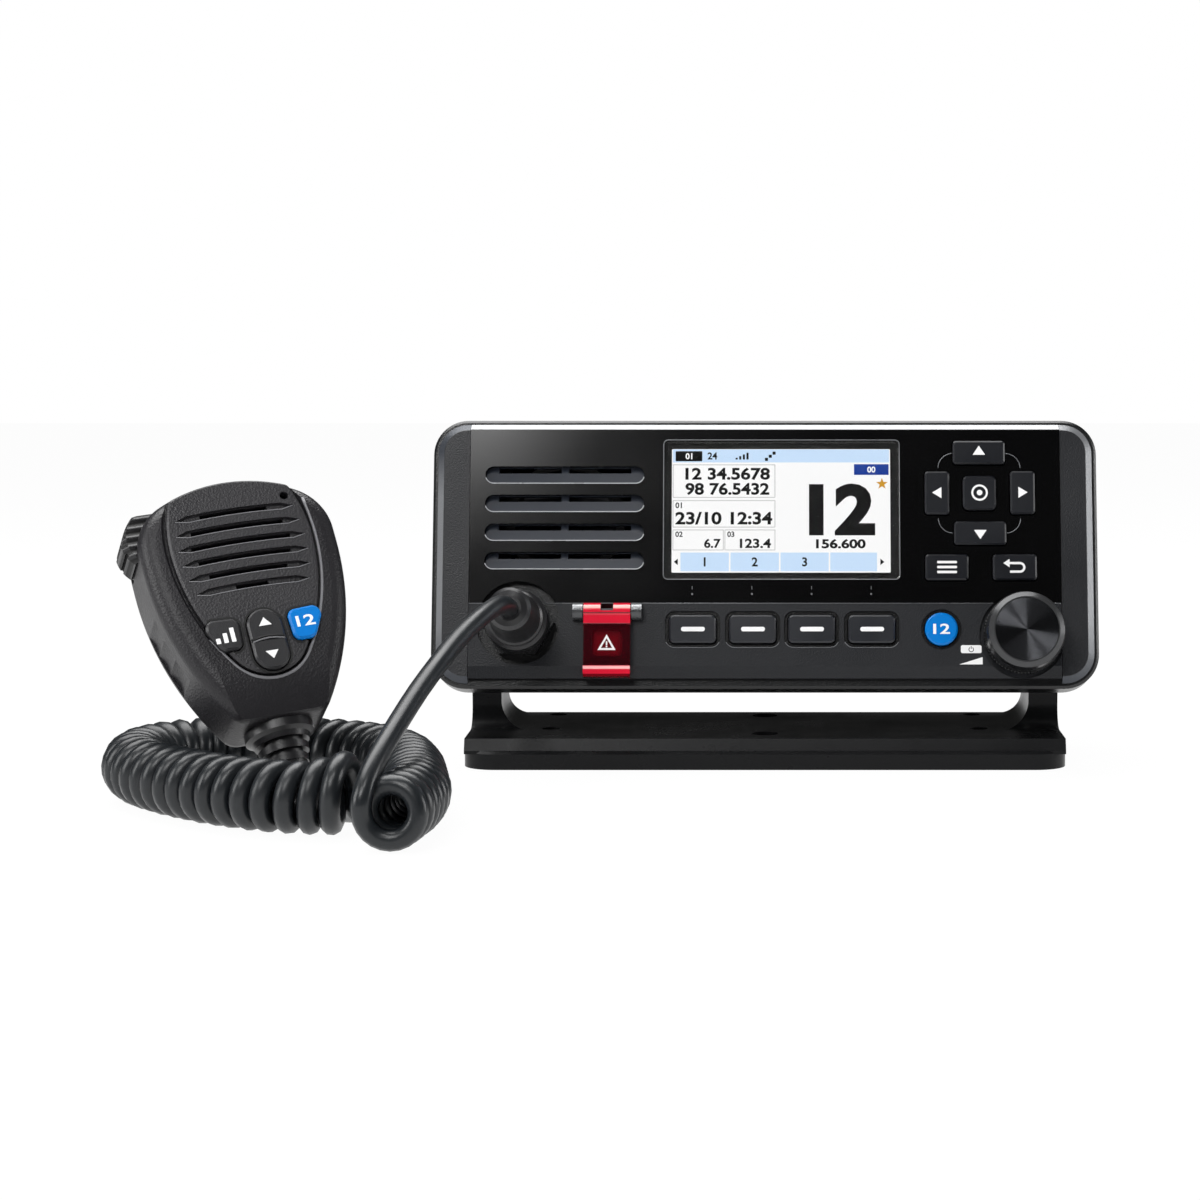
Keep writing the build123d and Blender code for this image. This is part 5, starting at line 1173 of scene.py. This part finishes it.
# %% Painted highlights on the microphone's edges
SIDE_X = 42.4
SIDE_Z = 66
GROOVE_R = 63.5
NECK_Z = 37.84
NECK_R = 12.6
MIC_PLATE_FACE = -14.2
# A light grey for painted highlights on the microphone's edges.
MIC_HIGHLIGHT = finish("mic_highlight", (0.15, 0.15, 0.16), 0.35, grains=2600, depth=0.004)
lips = Layer(MIC, MIC_PLATE_FACE)
for half, z in ((16.8, 74.7), (17.6, 70.2), (18.0, 65.7), (17.9, 61.2), (17.3, 56.7), (16.0, 52.3)):
    points = [(-half + 0.2, z - 0.1)]
    for i in range(13):
        x = (half - 3.5) * (i / 6 - 1)
        points.append((x, z - 1.05 + 0.8 * (1 - (x / half) ** 2)))
    points.append((half - 0.2, z - 0.1))
    add_bead(lips, points, 0.13)
make_piece("mic_slot_lip_highlights", lips.shapes, MIC_HIGHLIGHT, "microphone", smooth=True)

rim = Layer(MIC, -13.12)
add_bead(rim, arc_points(-SIDE_X, SIDE_Z, GROOVE_R, 10, -33.6, 16)
         + arc_points(0, NECK_Z, NECK_R, -36, -146, 14)
         + arc_points(SIDE_X, SIDE_Z, GROOVE_R, 213.6, 205, 4), 0.5)
make_piece("mic_plate_rim_highlight", rim.shapes, MIC_HIGHLIGHT, "microphone", smooth=True)
print("louvre lips", len(lips.shapes))

# %% [markdown]
# Each key on the microphone sits in a ring of painted shade. The two side keys are
# five-cornered with rounded corners, so the ring is their outline, grown by two distances
# and bridged. Where it would pass the edge of the plate, its points are pulled back onto it.

# %% Painted shade around the microphone's keys
MIC_KEY_CORNERS = ((6.7, 43.4), (15.9, 43.9), (16.1, 40.6), (13.0, 34.5), (7.2, 34.3))
MIC_KEY_R = 2.3
ROCKER_Z = 36
PLATE_R = 61.6


def rounded_corners(corners, radius, grow, steps=6):
    """A convex outline with rounded corners, grown outwards by a distance."""
    points = []
    for i, corner in enumerate(corners):
        here = Vector(corner)
        back = (Vector(corners[i - 1]) - here).normalized()
        ahead = (Vector(corners[(i + 1) % len(corners)]) - here).normalized()
        half = back.angle(ahead) / 2
        centre = here + (back + ahead).normalized() * radius / math.sin(half)
        first = (here + back * radius / math.tan(half) - centre).normalized()
        last = (here + ahead * radius / math.tan(half) - centre).normalized()
        for k in range(steps + 1):
            out = first.lerp(last, k / steps).normalized()
            points.append(tuple(centre + out * (radius + grow)))
    return points


def on_plate(points):
    """Keep an outline's points on the flat face of the microphone's plate."""
    kept = []
    for x, z in points:
        centre = Vector((-SIDE_X if x > 0 else SIDE_X, SIDE_Z))
        out = Vector((x, z)) - centre
        kept.append(tuple(centre + out * min(1, PLATE_R / out.length)))
    return kept


# Painted shade: dark rings around the microphone's keys.
wells = Layer(MIC, MIC_PLATE_FACE - 0.03)
for sign in (-1, 1):
    corners = [(sign * x, z) for x, z in MIC_KEY_CORNERS]
    add_loop(wells, on_plate(rounded_corners(corners, MIC_KEY_R, 0.95)),
             on_plate(rounded_corners(corners, MIC_KEY_R, 0.35)))
add_loop(wells, rounded_rectangle(0, ROCKER_Z, 11.5, 19.7, 5.745, 12),
         rounded_rectangle(0, ROCKER_Z, 10.5, 18.7, 5.245, 12))
make_piece("mic_key_shade_rings", wells.shapes, SEAL, "microphone")
print("key surrounds", len(wells.shapes))

# %% [markdown]
# The microphone's keys carry the same kind of plain marks, laid out in its own frame:
# rising bars for power, two arrows on the rocker and a number on the blue key. A dark
# line of painted shade in a crease, with a painted highlight on the ridge below it,
# divides the rocker, and both tilt with it.

# %% Marks on the microphone
MIC_KEY_FACE = -15.43


def mic_mark(name, layer, body):
    make_piece(name, layer.shapes, WHITE_INK, body)


steps = Layer(MIC, MIC_KEY_FACE)
for i in range(3):
    height = 1.6 + 1.3 * i
    add_plate(steps, rounded_rectangle(-13.6 + 2.1 * i, 36.6 + height / 2, 1.2, height, 0.2))
mic_mark("mic_power_mark", steps, "mic_left")

arrows = Layer(MIC, MIC_KEY_FACE)
add_plate(arrows, [(-1.8, 39.9), (1.8, 39.9), (0.0, 42.3)])
add_plate(arrows, [(-1.8, 32.4), (0.0, 30.0), (1.8, 32.4)])
mic_mark("mic_rocker_mark", arrows, "rocker")

number = Layer(MIC, MIC_KEY_FACE)
add_figures(number, "12", 11.2, 37.9, 3.2, width=5.2, bold=0.02, align="CENTER")
mic_mark("mic_channel_mark", number, "mic_right")

# Painted shade in the rocker's crease, and a painted highlight on its ridge.
for name, z, y, radius, look in (("mic_rocker_crease_shade", 36.8, -15.3, 0.28, SEAL),
                                 ("mic_rocker_ridge_highlight", 36.2, -15.35, 0.22, MIC_HIGHLIGHT)):
    line = Layer(MIC, y)
    add_bead(line, [(-4.4, z - 0.7), (-2.2, z - 0.2), (0, z), (2.2, z - 0.2), (4.4, z - 0.7)], radius)
    make_piece(name, line.shapes, look, "rocker", smooth=True)
